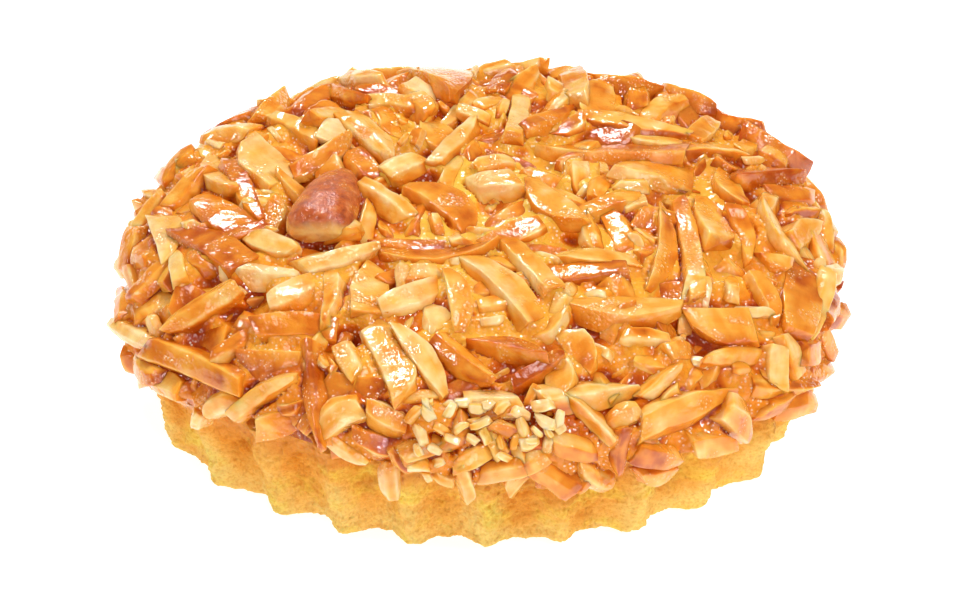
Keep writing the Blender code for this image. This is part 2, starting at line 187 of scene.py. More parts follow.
# The pieces that can be told apart in the photograph, those that lie lowest first.
SHOWN = (
    Almond(26.5, -50, 18, 5.5, 4.0, 2.6, 0.38, "chunk"),
    Almond(24.1, -46.5, 0, 8.0, 3.8, 2.8, 0.40),
    Almond(15.9, -52, -28, 7.0, 4.0, 2.6, 0.22),
    Almond(9.8, -51.9, -27, 7.5, 4.0, 2.8, 0.72),
    Almond(-43, -29.2, -40, 7.0, 4.0, 3.0, 0.25, "chunk"),
    Almond(-40.6, -35.9, 20, 3.4, 3.0, 2.4, 0.12, "chunk"),
    Almond(-50, -14.9, -52, 5.0, 4.0, 3.0, 0.20, "chunk"),
    Almond(-43.5, -11.5, 40, 7.0, 4.0, 3.0, 0.62, "chunk"),
    Almond(-46.5, -20, -52, 13.0, 3.4, 3.0, 0.28),
    Almond(-51, -9, -68, 11.5, 3.6, 3.0, 0.45),
    Almond(-48, 0, 60, 7.0, 4.0, 3.0, 0.42),
    Almond(-45.4, 6.8, 40, 8.0, 4.0, 3.0, 0.35),
    Almond(-13, -53, 80, 6.0, 3.2, 2.4, 0.20, "chunk"),
    Almond(-2.5, -53, -80, 7.0, 2.6, 2.2, 0.22),
    Almond(-1.0, -49.5, 25, 5.0, 3.6, 2.8, 0.05, "chunk"),
    Almond(4.5, -47.5, -65, 5.5, 3.0, 2.6, 0.04, "chunk"),
    Almond(6.5, -50.0, 30, 4.6, 3.4, 2.6, 0.10, "chunk"),
    Almond(3, -51, 20, 6.0, 3.4, 2.6, 0.18, "chunk"),
    Almond(-7, -48, 10, 6.0, 3.8, 2.8, 0.15, "chunk"),
    Almond(-3, -46, 60, 5.5, 3.4, 2.8, 0.12, "chunk"),
    Almond(1, -47, -50, 6.0, 3.2, 2.8, 0.20, "chunk"),
    Almond(12, -47, -10, 6.5, 3.8, 2.8, 0.35, "chunk"),
    Almond(-17.6, -42.4, 20, 6.4, 5.0, 3.0, 0.18, "chunk"),
    Almond(-12, -43.3, -30, 5.4, 4.4, 3.0, 0.22, "chunk"),
    Almond(2, -42, -2, 7.4, 4.8, 3.6, 0.06, "block"),
    Almond(26.6, -40, 30, 15.5, 5.4, 3.0, 0.36, "wedge"),
    Almond(13.5, -42.8, -38, 8.8, 2.9, 2.4, 0.30),
    Almond(18.5, -42.3, 40, 4.6, 4.0, 3.0, 0.15, "chunk"),
    Almond(13.4, -39.2, 20, 13.8, 4.8, 3.2, 0.12, "wedge"),
    Almond(7.3, -35.8, 42, 8.0, 3.0, 2.4, 0.85),
    Almond(22, -35.5, 55, 7.4, 2.8, 2.4, 0.20),
    Almond(34.3, -38.0, -10, 8.0, 5.4, 3.0, 0.46, "chunk"),
    Almond(41, -31, 25, 11.5, 3.6, 3.0, 0.50),
    Almond(40.5, -26, -40, 6.0, 4.0, 3.0, 0.18, "chunk"),
    Almond(38.4, -29, -73, 5.6, 3.6, 3.2, 0.25, "block"),
    Almond(43.9, -23.6, 37, 6.5, 4.2, 2.6, 0.40, "chunk"),
    Almond(50.6, -22, 53, 8.5, 3.6, 2.8, 0.45),
    Almond(45.5, -30.5, 40, 7.5, 4.0, 4.0, 0.50, "chunk"),
    Almond(-46.0, -25.5, -50, 8.5, 4.0, 4.0, 0.30, "chunk"),
    Almond(31, -29.5, 22, 9.4, 3.2, 2.6, 0.25),
    Almond(-37, -29.5, -40, 18.5, 4.4, 3.2, 0.52, "block"),
    Almond(-27, -36.8, 15, 11.5, 3.4, 2.6, 0.22, "wedge"),
    Almond(-20.6, -39, -88, 15.0, 3.2, 2.6, 0.66, "wedge"),
    Almond(-31, -29, 30, 6.0, 4.0, 3.0, 0.40, "chunk"),
    Almond(-35, -20, 18, 11.5, 4.4, 3.2, 0.55),
    Almond(-40.5, -3, -75, 10.5, 4.8, 3.0, 0.12, "moon"),
    Almond(-38.5, -11.5, -80, 7.6, 2.8, 2.4, 0.08),
    Almond(-33.5, -2.5, -45, 11.5, 6.0, 2.8, 0.48, "slab"),
    Almond(-33.5, -9.5, -52, 13.5, 5.4, 3.4, 0.62, "slab"),
    Almond(-25.6, -9.8, -44, 9.0, 4.5, 3.0, 0.28, "chunk"),
    Almond(-22.5, -27.3, -3, 10.8, 3.8, 3.2, 0.50, "block"),
    Almond(-23, -21, 35, 6.5, 5.2, 3.0, 0.25, "chunk"),
    Almond(-18, -22, -90, 10.0, 3.2, 2.6, 0.25),
    Almond(-14, -20, -86, 11.5, 5.4, 2.8, 0.22, "slab"),
    Almond(-9, -23, 35, 8.5, 4.6, 3.2, 0.12, "chunk"),
    Almond(-11, -34, -72, 13.5, 5.0, 2.8, 0.26, "slab"),
    Almond(-6.5, -34, -65, 12.5, 3.8, 3.0, 0.14, "moon"),
    Almond(-2, -35, -52, 10.8, 4.2, 3.0, 0.52, "wedge"),
    Almond(-2.2, -23.5, -82, 11.5, 3.6, 3.0, 0.42, "moon"),
    Almond(4, -32.2, -22, 10.2, 3.8, 3.0, 0.55, "moon"),
    Almond(3, -21, -60, 15.0, 5.6, 3.0, 0.30, "slab"),
    Almond(10.6, 0.9, -22, 10.0, 3.6, 2.8, 0.36),
    Almond(17.5, -25.6, 3, 14.4, 5.4, 3.2, 0.32, "moon"),
    Almond(30.2, -25, 10, 8.5, 5.4, 3.4, 0.45, "slab"),
    Almond(20, -29.5, 8, 6.5, 2.8, 2.4, 0.18, "chunk"),
    Almond(36.3, -18, -65, 8.4, 3.2, 2.8, 0.15),
    Almond(13.5, -17, 0, 10.5, 4.2, 3.0, 0.62, "block"),
    Almond(14.6, -13.2, -5, 12.5, 3.4, 2.8, 0.45, "moon"),
    Almond(6.2, -16.8, -63, 12.0, 3.4, 3.0, 0.38, "block"),
    Almond(29.4, -3.8, -84, 11.5, 5.6, 2.8, 0.36, "slab"),
    Almond(22.4, -11.5, -98, 17.5, 3.2, 3.2, 0.36, "moon"),
    Almond(25.8, -11, -88, 21.0, 3.4, 3.2, 0.40, "block"),
    Almond(33.8, -6, -78, 9.5, 3.4, 2.8, 0.42, "wedge"),
    Almond(31.8, 5.0, -77, 11.0, 4.4, 3.0, 0.42, "moon"),
    Almond(38.2, -4, -60, 13.0, 3.2, 3.0, 0.40, "moon"),
    Almond(36.8, 2.5, 70, 6.5, 4.2, 3.2, 0.25, "chunk"),
    Almond(42.6, -1, 60, 8.5, 5.6, 3.4, 0.12, "wedge"),
    Almond(37.3, -10.7, 20, 4.4, 3.6, 3.0, 0.32, "chunk"),
    Almond(48.2, -13.2, 60, 9.0, 4.4, 3.0, 0.62),
    Almond(48.4, -6.0, 50, 6.0, 3.4, 3.0, 0.40, "chunk"),
    Almond(47.5, 4.1, -77, 7.0, 3.6, 2.8, 0.45),
    Almond(40.8, -16.6, 76, 13.5, 6.4, 3.0, 0.62, "slab"),
    Almond(44.4, -15.5, 82, 13.0, 2.6, 2.8, 0.14),
    Almond(16.4, -2.6, 28, 10.8, 3.8, 3.2, 0.35, "block"),
    Almond(8.6, -2.4, -60, 13.5, 5.2, 3.0, 0.30, "moon"),
    Almond(15.5, 3, 75, 7.4, 3.6, 2.8, 0.40, "chunk"),
    Almond(-4.3, -1.2, -46, 13.0, 6.5, 3.0, 0.46, "moon"),
    Almond(2, 2.4, -3, 6.8, 4.4, 3.6, 0.10, "block"),
    Almond(1.5, 7.5, 30, 6.0, 4.0, 2.8, 0.15, "chunk"),
    Almond(-9.5, 7.4, 40, 6.5, 4.5, 2.8, 0.30, "chunk"),
    Almond(-4.5, -12.3, 2, 16.5, 3.6, 3.2, 0.68, "moon"),
    Almond(-17.5, -13, 25, 11.5, 3.8, 3.2, 0.18, "wedge"),
    Almond(-12.2, -1, -42, 9.0, 3.6, 3.0, 0.10, "block"),
    Almond(-7, -17.5, 10, 4.6, 4.2, 3.0, 0.08, "chunk"),
    Almond(22.2, 6.6, -8, 11.0, 7.6, 3.4, 0.30, "slab"),
    Almond(16.5, 11.4, -3, 21.5, 6.0, 3.2, 0.44, "slab"),
    Almond(29.6, 14.6, 28, 12.5, 5.0, 3.2, 0.60, "slab"),
    Almond(37, 10.6, 34, 13.0, 4.4, 4.0, 0.92, "moon"),
    Almond(46.5, 8, -60, 9.0, 5.0, 3.2, 0.55, "chunk"),
    Almond(45.5, 14, -48, 7.0, 4.5, 3.6, 0.52, "chunk"),
    Almond(39.5, 21.3, -40, 9.0, 6.5, 4.8, 0.62, "block"),
    Almond(34.0, 27.0, -50, 9.0, 5.0, 4.4, 0.60, "slab"),
    Almond(28.8, 20.4, 69, 8.5, 4.5, 3.0, 0.42, "block"),
    Almond(28.3, 31, -50, 9.5, 6.5, 4.6, 0.65, "slab"),
    Almond(24.5, 25.5, 60, 10.0, 4.6, 3.4, 0.36, "wedge"),
    Almond(24, 30.5, -80, 8.0, 4.2, 3.4, 0.60, "chunk"),
    Almond(20.6, 28.8, -88, 8.0, 4.2, 3.4, 0.55, "chunk"),
    Almond(19.6, 18.8, -22, 16.0, 5.2, 3.2, 0.34, "wedge"),
    Almond(18, 33.5, -40, 12.0, 5.0, 4.2, 0.64, "slab"),
    Almond(12.4, 31, -88, 11.0, 4.2, 3.6, 0.30, "block"),
    Almond(5.1, 31.5, 53, 9.0, 5.0, 3.0, 0.32, "wedge"),
    Almond(3.6, 32.0, 68, 6.5, 4.0, 3.0, 0.80),
    Almond(-14.9, 33.6, -53, 10.0, 5.0, 4.2, 0.20, "wedge"),
    Almond(-12.5, 28, -20, 9.0, 3.2, 2.8, 0.72),
    Almond(-11.8, 24.5, -25, 8.5, 3.4, 2.6, 0.05, "block"),
    Almond(-22.5, 30, 70, 11.5, 4.5, 3.0, 0.82, "wedge"),
    Almond(-17.5, 29.5, -63, 12.0, 3.0, 3.0, 0.60, "wedge"),
    Almond(-27.6, 28.5, 68, 9.0, 5.0, 4.4, 0.33, "wedge"),
    Almond(-33.4, 22.1, -11, 7.5, 4.8, 3.0, 0.35, "chunk"),
    Almond(-40.6, 16.5, 30, 7.0, 4.2, 3.0, 0.50),
    Almond(9, 19, 45, 10.5, 3.4, 3.0, 0.55),
    Almond(4.8, 21, 85, 14.0, 3.6, 3.2, 0.16, "block"),
    Almond(-4.6, 33.7, -62, 15.0, 8.6, 5.6, 0.56, "slab"),
    Almond(-2.4, 14, 64, 13.5, 3.8, 3.2, 0.28, "wedge"),
    Almond(-8.2, 23.5, -66, 7.0, 5.2, 4.2, 0.34, "chunk"),
    Almond(-14, 15.4, -60, 12.5, 4.4, 3.0, 0.34, "wedge"),
    Almond(-20.5, 12.4, 42, 10.5, 4.4, 3.0, 0.26, "wedge"),
    Almond(-34.6, 9, -75, 13.5, 4.0, 3.0, 0.15, "moon"),
    Almond(-38.5, 7.4, 48, 8.0, 4.0, 3.0, 0.18, "block"),
    Almond(-31, 3.0, -78, 15.0, 3.8, 3.0, 0.58, "wedge"),
    Almond(-28.6, 10.0, -58, 11.0, 7.5, 3.2, 0.12, "slab"),
)
SKINNED = Almond(-18.9, -1.2, -99, 16.0, 9.6, 6.6, 0.15, "half")


class Filling(NamedTuple):
    """A layer of pieces that fill the rest: how many, from how long to how short, and their highest top."""

    count: int
    longest: float
    shortest: float
    highest: float


FILLED = (Filling(160, 14.0, 8.0, -1.6), Filling(190, 12.0, 6.0, -0.4), Filling(360, 11.0, 3.6, 0.5))
FILL_MARGIN = 0.8
FILL_TRIES = 16
SPOT_SHARE = 0.33
FILLER_FORMS = ("stick", "slab", "chunk")
FORM_SHARES = (0.5, 0.28, 0.22)
LENGTH_SPREAD = (0.85, 1.15)
CHUNK_LENGTHS = (4.5, 8.0)
CHUNK_WIDTH_SHARES = (0.6, 0.85)
SLAB_WIDTHS = (4.4, 6.6)
STICK_WIDTHS = (2.6, 4.2)
FILLER_THICKNESSES = (2.3, 3.4)
TURNS_TRIED = range(30, 180, 30)
MOST_OVERHANG = 0.5
RIM_HEADINGS = 6
RIM_HEADING_SPREAD = 12.0
EDGE_BAND = 7.0
LONGEST_AT_EDGE = 6.5
WIDEST_AT_EDGE = 4.2

# How toasted the fillers are. The back is darker on the right, from a line on the map, and paler on the left.
USUAL_TONE = 0.30
RIM_TONE = 0.16
TONE_SPREAD = 0.13
RIM_TONE_SPREAD = 0.08
BACK_RIGHT_TONE = 0.10
BACK_RIGHT_START = 8.0
BACK_LEFT_TONE = -0.07
PALEST = 0.02
DARKEST_RIGHT = 0.90
DARKEST_LEFT = 0.60

# How much more toasted a piece is on its upper sides. How much darker it is painted below the heap's top,
# as painted shade in the gaps, and close over the caramel, partly as caramel soaked in and partly as painted
# contact shade.
TOP_TONE = 0.05
DEPTH_PAINTED_SHADE = 0.14
DEPTH_PAINTED_SHADE_LIMITS = (-0.6, 2.5)
WET_AND_CONTACT_SHADE_TONE = 0.32
WET_AND_CONTACT_SHADE_REACH = 0.5

# Chips and crumbs, which lie in the deepest gaps.
CHIPS = 300
CHIP_TRIES = 24
CHIP_LENGTHS = (2.0, 4.2)
CHIP_WIDTH_SHARES = (0.5, 0.85)
CHIP_THICKNESS_SHARES = (0.4, 0.7)
CHIP_TONE = 0.22
CHIP_TONE_SPREAD = 0.14
CHIP_DARKEST = 0.7
CHIP_HIGHEST = 0.2
GAP_BLUR = 1.6
CRUMB_SPOT = (1.0, -47.0)
CRUMB_SPREAD = (9.0, 5.0)
CRUMBS = 300
CRUMB_HIGHEST = 2.0
CRUMB_SIZE = 0.8
CRUMB_TONE = 0.06

# Almond colours from cream over golden and orange to red-brown, in linear light.
TONES = (
    (0.00, (0.92, 0.86, 0.64)),
    (0.20, (0.90, 0.75, 0.39)),
    (0.40, (0.88, 0.56, 0.14)),
    (0.60, (0.83, 0.365, 0.044)),
    (0.80, (0.69, 0.21, 0.012)),
    (1.00, (0.46, 0.095, 0.005)),
)

# Surface colours, also in linear light, and where on a noise or a distance each of them sets in.
FIBRE_STRETCH = (0.25, 1.6, 1.6)
FIBRE_TINTS = ((0.3, (0.97, 0.90, 0.80)), (0.55, (1.0, 1.0, 1.0)), (0.75, (1.02, 1.03, 1.05)))
GLAZE_COLOUR = (0.84, 0.36, 0.04)
GLAZE_PATCHES = ((0.46, 0.0), (0.62, 0.5))
SKIN_TINTS = ((0.3, (0.34, 0.07, 0.025)), (0.55, (0.56, 0.14, 0.035)), (0.78, (0.72, 0.30, 0.13)))
FROTH_COLOUR = (0.80, 0.32, 0.035)
FROTH_STAIN = 0.35
# Painted highlights: the pale colour of glints painted on the bubbles in the froth patches.
PAINTED_GLINT_COLOUR = (0.98, 0.86, 0.62)
ALMOND_FROTH = ((0.54, 0.0), (0.62, 1.0))
ALMOND_PAINTED_GLINTS = ((0.18, 0.75), (0.28, 0.0))
ALMOND_BUBBLES = 1900.0
CARAMEL_FROTH = ((0.46, 0.08), (0.58, 1.0))
CARAMEL_PAINTED_GLINTS = ((0.18, 0.65), (0.28, 0.0))
CARAMEL_BUBBLES = 1500.0
# The depth under the heap's smoothed top at which the caramel is darkest: partly thicker caramel, partly
# painted shade.
CARAMEL_THICK_AND_SHADED_DEPTH = 1.05
CARAMEL_TINTS = ((0.2, (0.90, 0.50, 0.06)), (0.42, (0.82, 0.27, 0.015)), (0.70, (0.62, 0.12, 0.003)),
                 (1.0, (0.36, 0.04, 0.001)))
CRUST_TINTS = ((0.2, (1.0, 0.70, 0.19)), (0.45, (1.0, 0.60, 0.15)), (0.66, (0.97, 0.46, 0.08)),
               (0.95, (0.80, 0.27, 0.02)))
CRUST_GRAIN = ((0.36, (0.91, 0.81, 0.65)), (0.50, (1.0, 1.0, 1.0)), (0.64, (1.04, 1.09, 1.18)))
BUTTER_COLOUR = (1.0, 0.70, 0.09)
BUTTER_PATCHES = ((0.52, 0.0), (0.66, 0.65))
SOAKED_COLOUR = (0.84, 0.30, 0.025)
SOAKED_MOST = 0.85
FLOOR_COLOUR = (0.55, 0.55, 0.55, 1.0)
FLOOR_GLOW = 0.8

# The noise in the surfaces: waves to the metre, or to the millimetre where it lies along a piece.
FIBRE_WAVES = 1.0
SKIN_WAVES = 0.9
SKIN_WRINKLE_WAVES = 2.6
GLAZE_WAVES = 260.0
ALMOND_FROTH_WAVES = 240.0
ALMOND_FINE_WAVES = 1200.0
CARAMEL_WAVES = 260.0
CARAMEL_FROTH_WAVES = 200.0
CARAMEL_FINE_WAVES = 600.0
BAKED_WAVES = 150.0
BUTTER_WAVES = 170.0
GRAIN_OF_CRUST_WAVES = 2400.0
SOAKED_WAVES = 120.0
CRUST_COARSE_WAVES = 700.0

# How far noise, the rim, the height and the ridges shift a surface along its ramp of colours. The
# shift by the ridges is painted shade, which leaves the crust's flutes darker than its ridges.
CARAMEL_NOISE_SHADE = 0.35
CARAMEL_RIM_SHADE = 0.30
BAKED_UPWARDS = 0.52
PAINTED_FLUTE_SHADE = -0.26
SOAKED_UPWARDS = 0.9
SOAKED_FROM = 1.08
SOAKED_TO = 1.34

# The relief: its height in metres, how strong it is, and what bubbles and wrinkles add to the fine noise.
FINE_BUMP = 0.0004
COARSE_BUMP = 0.0011
ALMOND_BUMP = 0.4
ALMOND_COAT_BUMP = 0.26
CARAMEL_BUMP = 0.4
CARAMEL_COAT_BUMP = 0.8
CRUST_BUMP = 1.0
BUBBLES_UNDER_GLAZE = -0.9
BUBBLES_ON_GLAZE = -5.5
BUBBLES_ON_CARAMEL = -1.6
WRINKLES_UNDER_GLAZE = 1.5
WRINKLES_ON_GLAZE = 2.2

# The outlines from above: the ranges of what is left at the first and the other end and of how early it
# narrows, and on which sides it narrows. Sticks and slabs have a sharper and a blunter end.
OUTLINES = {
    "chunk": ((0.6, 1.0), (0.5, 1.0), (1.5, 3.5), "any"),
    "block": ((0.85, 1.0), (0.8, 1.0), (2.0, 4.0), "both"),
    "moon": ((0.25, 0.5), (0.2, 0.45), (1.8, 2.6), "either"),
    "wedge": ((0.85, 1.0), (0.15, 0.4), (1.1, 1.8), "any"),
}
SHARP_ENDS = (0.2, 0.8)
BLUNT_ENDS = (0.75, 1.05)
STICK_POWERS = (1.0, 3.0)
STICK_SIDES = (0.0, 0.15, 0.5, 0.85, 1.0)

# How a cut piece is shaped: its rounded edges, slanted ends, slight bend and noise.
EDGE_RADII = (0.12, 0.32)
MOST_CUT = 0.35
RINGS_OF_CHUNK = 8
RINGS_OF_LONG = 13
TIP_THICKNESSES = (0.45, 1.0)
END_SKEWS = (-0.6, 0.6)
END_LEANS = (-0.45, 0.45)
BENDS = (-0.02, 0.05)
SWAYS = (-0.045, 0.045)
TWISTS = (-0.15, 0.15)
GRAIN_WAVES = 0.42
GRAIN_RELIEF = 0.22
FINE_WAVES = 1.25
FINE_RELIEF = 0.07

# How its tone differs from side to side, on its end faces, its edges and tips, along it and with the noise.
SIDE_TONE_SPREAD = 0.13
FACE_TONE_SPREAD = 0.12
EDGE_TONES = (-0.24, -0.12, 0.10, 0.24)
TIP_TONE = 0.14
LENGTH_TONES = (-0.3, 0.3)
GRAIN_TONE = 0.30
FINE_TONE = 0.18

# The almond end with its skin on.
SKIN_RINGS = 22
SKIN_SECTORS = 40
SKIN_BUMPS = 0.03
SKIN_WRINKLES = 0.02
WRINKLE_WAVES = (0.5, 2.2, 2.2)
CUT_TONE = 0.2
CUT_GRAIN = 0.25

# The joined mesh that each form of piece goes into.
PIECE_NAMES = {
    "stick": "almond_sticks",
    "block": "almond_sticks",
    "wedge": "almond_sticks",
    "slab": "almond_slices",
    "moon": "almond_slices",
    "chunk": "almond_chunks",
    "half": "skinned_almond",
}

# The caramel glaze lies where a ball rolled over the heap would not reach.
GLAZE_BALL = 1.5
GLAZE_DROP = 0.15
GLAZE_HOLLOWS = 0.9
GLAZE_PARTING = 0.3
GLAZE_BARE = 0.15
TIP_BARE = (-20.5, -7.0, 4.2, 2.4)
GLAZE_SOFT = 0.22
HOLLOW_SIZE = 2.2
FINE_CELL = 0.3
RAY_START = 9.0
TOP_BLUR = 1.3

# The glaze as a mesh: its drips, how it ends over the crust, and the shares of the layer's half sizes and the
# depths under the crust's rim at which it closes. What lies hidden there has the tint of deep caramel.
GLAZE_SECTORS = 600
GLAZE_LEVELS = 158
WIDE_DRIPS = 0.7
NARROW_DRIPS = 0.6
END_WIDTH = 1.2
END_FALL = 1.4
UNDERSIDE = ((0.90, 1.0), (0.5, 1.5))
HIDDEN_TINT = (4.0, 1.0, 0.0)

# Soft studio lights: name, azimuth and elevation in degrees, distance and size in metres, power in watts.
WORLD_STRENGTH = 0.17
LIGHTS = (
    ("top", 180, 80, 1.0, 0.26, 1.5),
    ("front", 10, 28, 1.0, 0.36, 1.7),
    ("glint", -25, 30, 0.8, 0.08, 0.9),
    ("key", -60, 50, 0.8, 0.14, 2.8),
    ("back", 165, 48, 0.8, 0.18, 3.2),
    ("left", 80, 35, 0.9, 0.14, 1.6),
)


def oval(angle, half_length, half_width, fullness=ALMOND_FULLNESS):
    """The point of a full oval in that direction."""
    x, y = np.cos(angle), np.sin(angle)
    bulge = (np.abs(x) ** fullness + np.abs(y) ** fullness) ** (-1 / fullness)
    return half_length * bulge * x, half_width * bulge * y


def profile(dome):
    """The dome's profile from its top to its widest level: share of the half size, height and arc length."""
    turns = np.linspace(0, math.pi / 2, PROFILE_STEPS)
    share = np.sin(turns) ** (2 / dome.squareness)
    height = dome.widest + dome.rise * np.cos(turns) ** (2 / dome.squareness)
    half = 0.5 * (dome.half_length + dome.half_width)
    along = np.concatenate([[0.0], np.cumsum(np.hypot(np.diff(share) * half, np.diff(height)))])
    return share, height, along


SHARES, HEIGHTS, ALONG = profile(LAYER)
REACH = float(ALONG[-1])


def layer_points(x, y):
    """The points of the layer's middle surface at x, y on its map."""
    reach = np.hypot(x, y)
    share = np.interp(reach, ALONG, SHARES)
    height = np.interp(reach, ALONG, HEIGHTS) - np.maximum(0.0, reach - REACH)
    across, deep = oval(np.arctan2(y, x), LAYER.half_length * share, LAYER.half_width * share)
    return np.stack([across, deep, height], axis=-1)


def unit(vectors):
    """The vectors brought to length 1."""
    return vectors / np.linalg.norm(vectors, axis=-1, keepdims=True)


def layer_frame(x, y, heading=0.0):
    """The layer's points there, with the directions along a piece, across it and out of the layer."""
    step = 0.5
    turn = math.radians(heading)
    ax, ay = step * math.cos(turn), step * math.sin(turn)
    along = layer_points(x + ax, y + ay) - layer_points(x - ax, y - ay)
    across = layer_points(x - ay, y + ax) - layer_points(x + ay, y - ax)
    out = unit(np.cross(along, across))
    along = unit(along)
    return layer_points(x, y), along, np.cross(out, along), out


def lip_depth(angle):
    """How far the lip hangs under the crust's rim: most at the two ends of the oval."""
    wave = 2.2 + 1.6 * np.cos(2 * angle) + 1.0 * np.cos(4 * angle)
    return np.maximum(0.7, wave + 0.5 * np.sin(7 * angle + 1.0) + 0.35 * np.sin(13 * angle + 2.0))


class Ground:
    """The heights that almonds land on. It changes as they are laid."""

    def __init__(self):
        steps = np.arange(-MAP_HALF, MAP_HALF + CELL / 2, CELL)
        self.x, self.y = np.meshgrid(steps, steps)
        self.points, _, _, self.out = layer_frame(self.x, self.y)
        # The bed is uneven, and lies deepest under the top of the tart.
        reach = np.hypot(self.x, self.y) / REACH
        inner = np.clip(1 - reach, 0, 1) ** 0.6
        bumps = np.sin(0.55 * self.x + 1.3) * np.sin(0.61 * self.y)
        bumps += 0.6 * np.sin(1.05 * self.x - 0.4 * self.y)
        depth = BED_DEPTH_SIDE + (BED_DEPTH_TOP - BED_DEPTH_SIDE) * inner
        self.height = BED_BUMPS * bumps - depth
        self.bed = self.height.copy()
        self.owner = np.full(self.x.shape, -1)

    def window(self, x, y, reach):
        """The slices of the grid that hold what is within reach of x, y."""
        slices = []
        for middle in (y, x):
            low = int(max(0, (middle - reach + MAP_HALF) / CELL))
            high = int(min(len(self.x), (middle + reach + MAP_HALF) / CELL + 2))
            slices.append(slice(low, high))
        return tuple(slices)


def resting_slope(lengths, tops):
    """The slope of the line on the tops that is lowest at the middle, like a stick on two supports."""
    best, slope = math.inf, 0.0
    for i in range(len(lengths)):
        for j in range(len(lengths)):
            if not lengths[i] < 0 <= lengths[j]:
                continue
            tilt = (tops[j] - tops[i]) / (lengths[j] - lengths[i])
            level = (tops - tilt * lengths).max()
            if level < best:
                best, slope = level, tilt
    return slope


def rim_rise(x, y):
    """How much higher pieces may lie there: more towards the rim of the tart."""
    return RIM_RISE * min(1.0, max(0.0, (math.hypot(x, y) / REACH - RIM_START) / (RIM_END - RIM_START)))


def settle(ground, piece):
    """A piece laid on the ground: how hollow it lies, its middle and its axes, as rows."""
    point, along, across, out = layer_frame(piece.x, piece.y, piece.heading)
    area = ground.window(piece.x, piece.y, 0.5 * piece.length + 1)
    turn = math.radians(piece.heading)
    dx, dy = ground.x[area] - piece.x, ground.y[area] - piece.y
    u = dx * math.cos(turn) + dy * math.sin(turn)
    v = dy * math.cos(turn) - dx * math.sin(turn)
    under = (np.abs(u) < LYING_LENGTH * piece.length) & (np.abs(v) < LYING_WIDTH * piece.width)
    tops = (ground.points[area] + ground.out[area] * ground.height[area][..., None])[under] - point
    u, v, height = tops @ along, tops @ across, tops @ out
    edges = np.linspace(-0.5, 0.5, STATIONS + 1) * piece.length
    lengths = 0.5 * (edges[1:] + edges[:-1])
    station = np.clip(np.digitize(u, edges) - 1, 0, STATIONS - 1)
    levels = np.full(STATIONS, NO_GROUND)
    for k in range(STATIONS):
        if (station == k).any():
            levels[k] = np.quantile(height[station == k], STATION_LEVEL)
    steepest = STEEPEST if piece.fills else STEEPEST_SHOWN
    pitch = float(np.clip(resting_slope(lengths, levels), -steepest, steepest))
    lean = float((v * (height - height.mean())).sum() / max(1.0, (v * v).sum()))
    roll = float(np.clip(lean, -steepest, steepest))
    over_plane = height - pitch * u - roll * v
    level = float(np.quantile(over_plane, PRESSED))
    if not piece.fills:
        buried = piece.thick * (1 - SINK)
        highest = SHOWN_HIGHEST + rim_rise(piece.x, piece.y)
        highest += THICK_RISE * max(0.0, piece.thick - USUAL_THICK)
        highest = SKINNED_HIGHEST if piece.form == "half" else highest
        level = float(np.clip(level, SHOWN_LOWEST - buried, highest - buried))
    forward = unit(along + out * pitch)
    up = unit(np.cross(forward, unit(across + out * roll)))
    sideways = np.cross(up, forward)
    middle = point + out * level + up * piece.thick * (0.5 - SINK)
    rise = 0.5 * (piece.thick + piece.length * abs(forward[2]))
    middle[2] = min(middle[2], (TIP_TOP_HEIGHT if piece.form == "half" else TOP_HEIGHT) - rise)
    return level - over_plane.mean(), middle, np.array([forward, sideways, up])


def half_sizes(piece):
    """Half a piece's length, width and thickness."""
    return 0.5 * np.array([piece.length, piece.width, piece.thick])


def top_height(piece, middle):
    """How high a piece's top lies over the layer."""
    point, _, _, out = layer_frame(piece.x, piece.y)
    return (middle - point) @ out + 0.5 * piece.thick


def lay(ground, piece, middle, axes, number):
    """Raises the ground to the top of a piece that lies there."""
    area = ground.window(piece.x, piece.y, 0.5 * piece.length + piece.width)
    points, out = ground.points[area], ground.out[area]
    up = axes[2]
    top = middle + up * RAISED_HEIGHT * piece.thick
    rise = ((top - points) @ up) / np.maximum(0.2, out @ up)
    met = points + out * rise[..., None] - middle
    u, v = met @ axes[0], met @ axes[1]
    inside = (np.abs(u) < RAISED_LENGTH * piece.length) & (np.abs(v) < RAISED_WIDTH * piece.width)
    higher = inside & (out @ up > LEAST_FACING) & (rise > ground.height[area])
    ground.height[area] = np.where(higher, rise, ground.height[area])
    ground.owner[area] = np.where(higher, number, ground.owner[area])


def spots_of(piece):
    """Three points along the middle of a piece, on the map."""
    turn = math.radians(piece.heading)
    reach = SPOT_SHARE * piece.length * np.array([math.cos(turn), math.sin(turn)])
    middle = np.array([piece.x, piece.y])
    return [middle - reach, middle, middle + reach]


def bell(angle, way, span):
    """1 in the direction way and falling off around it; way and span are in degrees."""
    away = np.remainder(np.asarray(angle) - math.radians(way) + math.pi, 2 * math.pi) - math.pi
    return np.exp(-0.5 * (away / math.radians(span)) ** 2)


def bare_wall(angle):
    """How much further up the crust's wall shows there than on the solid."""
    return sum(height * bell(angle, way, span) for way, height, span in BARE_WALL)


def edge_reach(angle):
    """How far from the top, on the map, the topping goes down the side."""
    return REACH - BED_LIFT + lip_depth(angle) - bare_wall(angle)


def overhang(x, y, heading, length):
    """How far the ends of a piece reach past the topping's lower edge."""
    turn = math.radians(heading)
    most = -math.inf
    for way in (-0.5, 0.5):
        ex, ey = x + way * length * math.cos(turn), y + way * length * math.sin(turn)
        most = max(most, math.hypot(ex, ey) - float(edge_reach(math.atan2(ey, ex))))
    return most


def heading_at(rng, x, y, length):
    """A random heading, or one along the rim where the piece would hang over it."""
    for _ in range(RIM_HEADINGS):
        heading = rng.uniform(-90, 90)
        if overhang(x, y, heading, length) < MOST_OVERHANG:
            return heading
    return math.degrees(math.atan2(y, x)) + 90 + rng.uniform(-RIM_HEADING_SPREAD, RIM_HEADING_SPREAD)


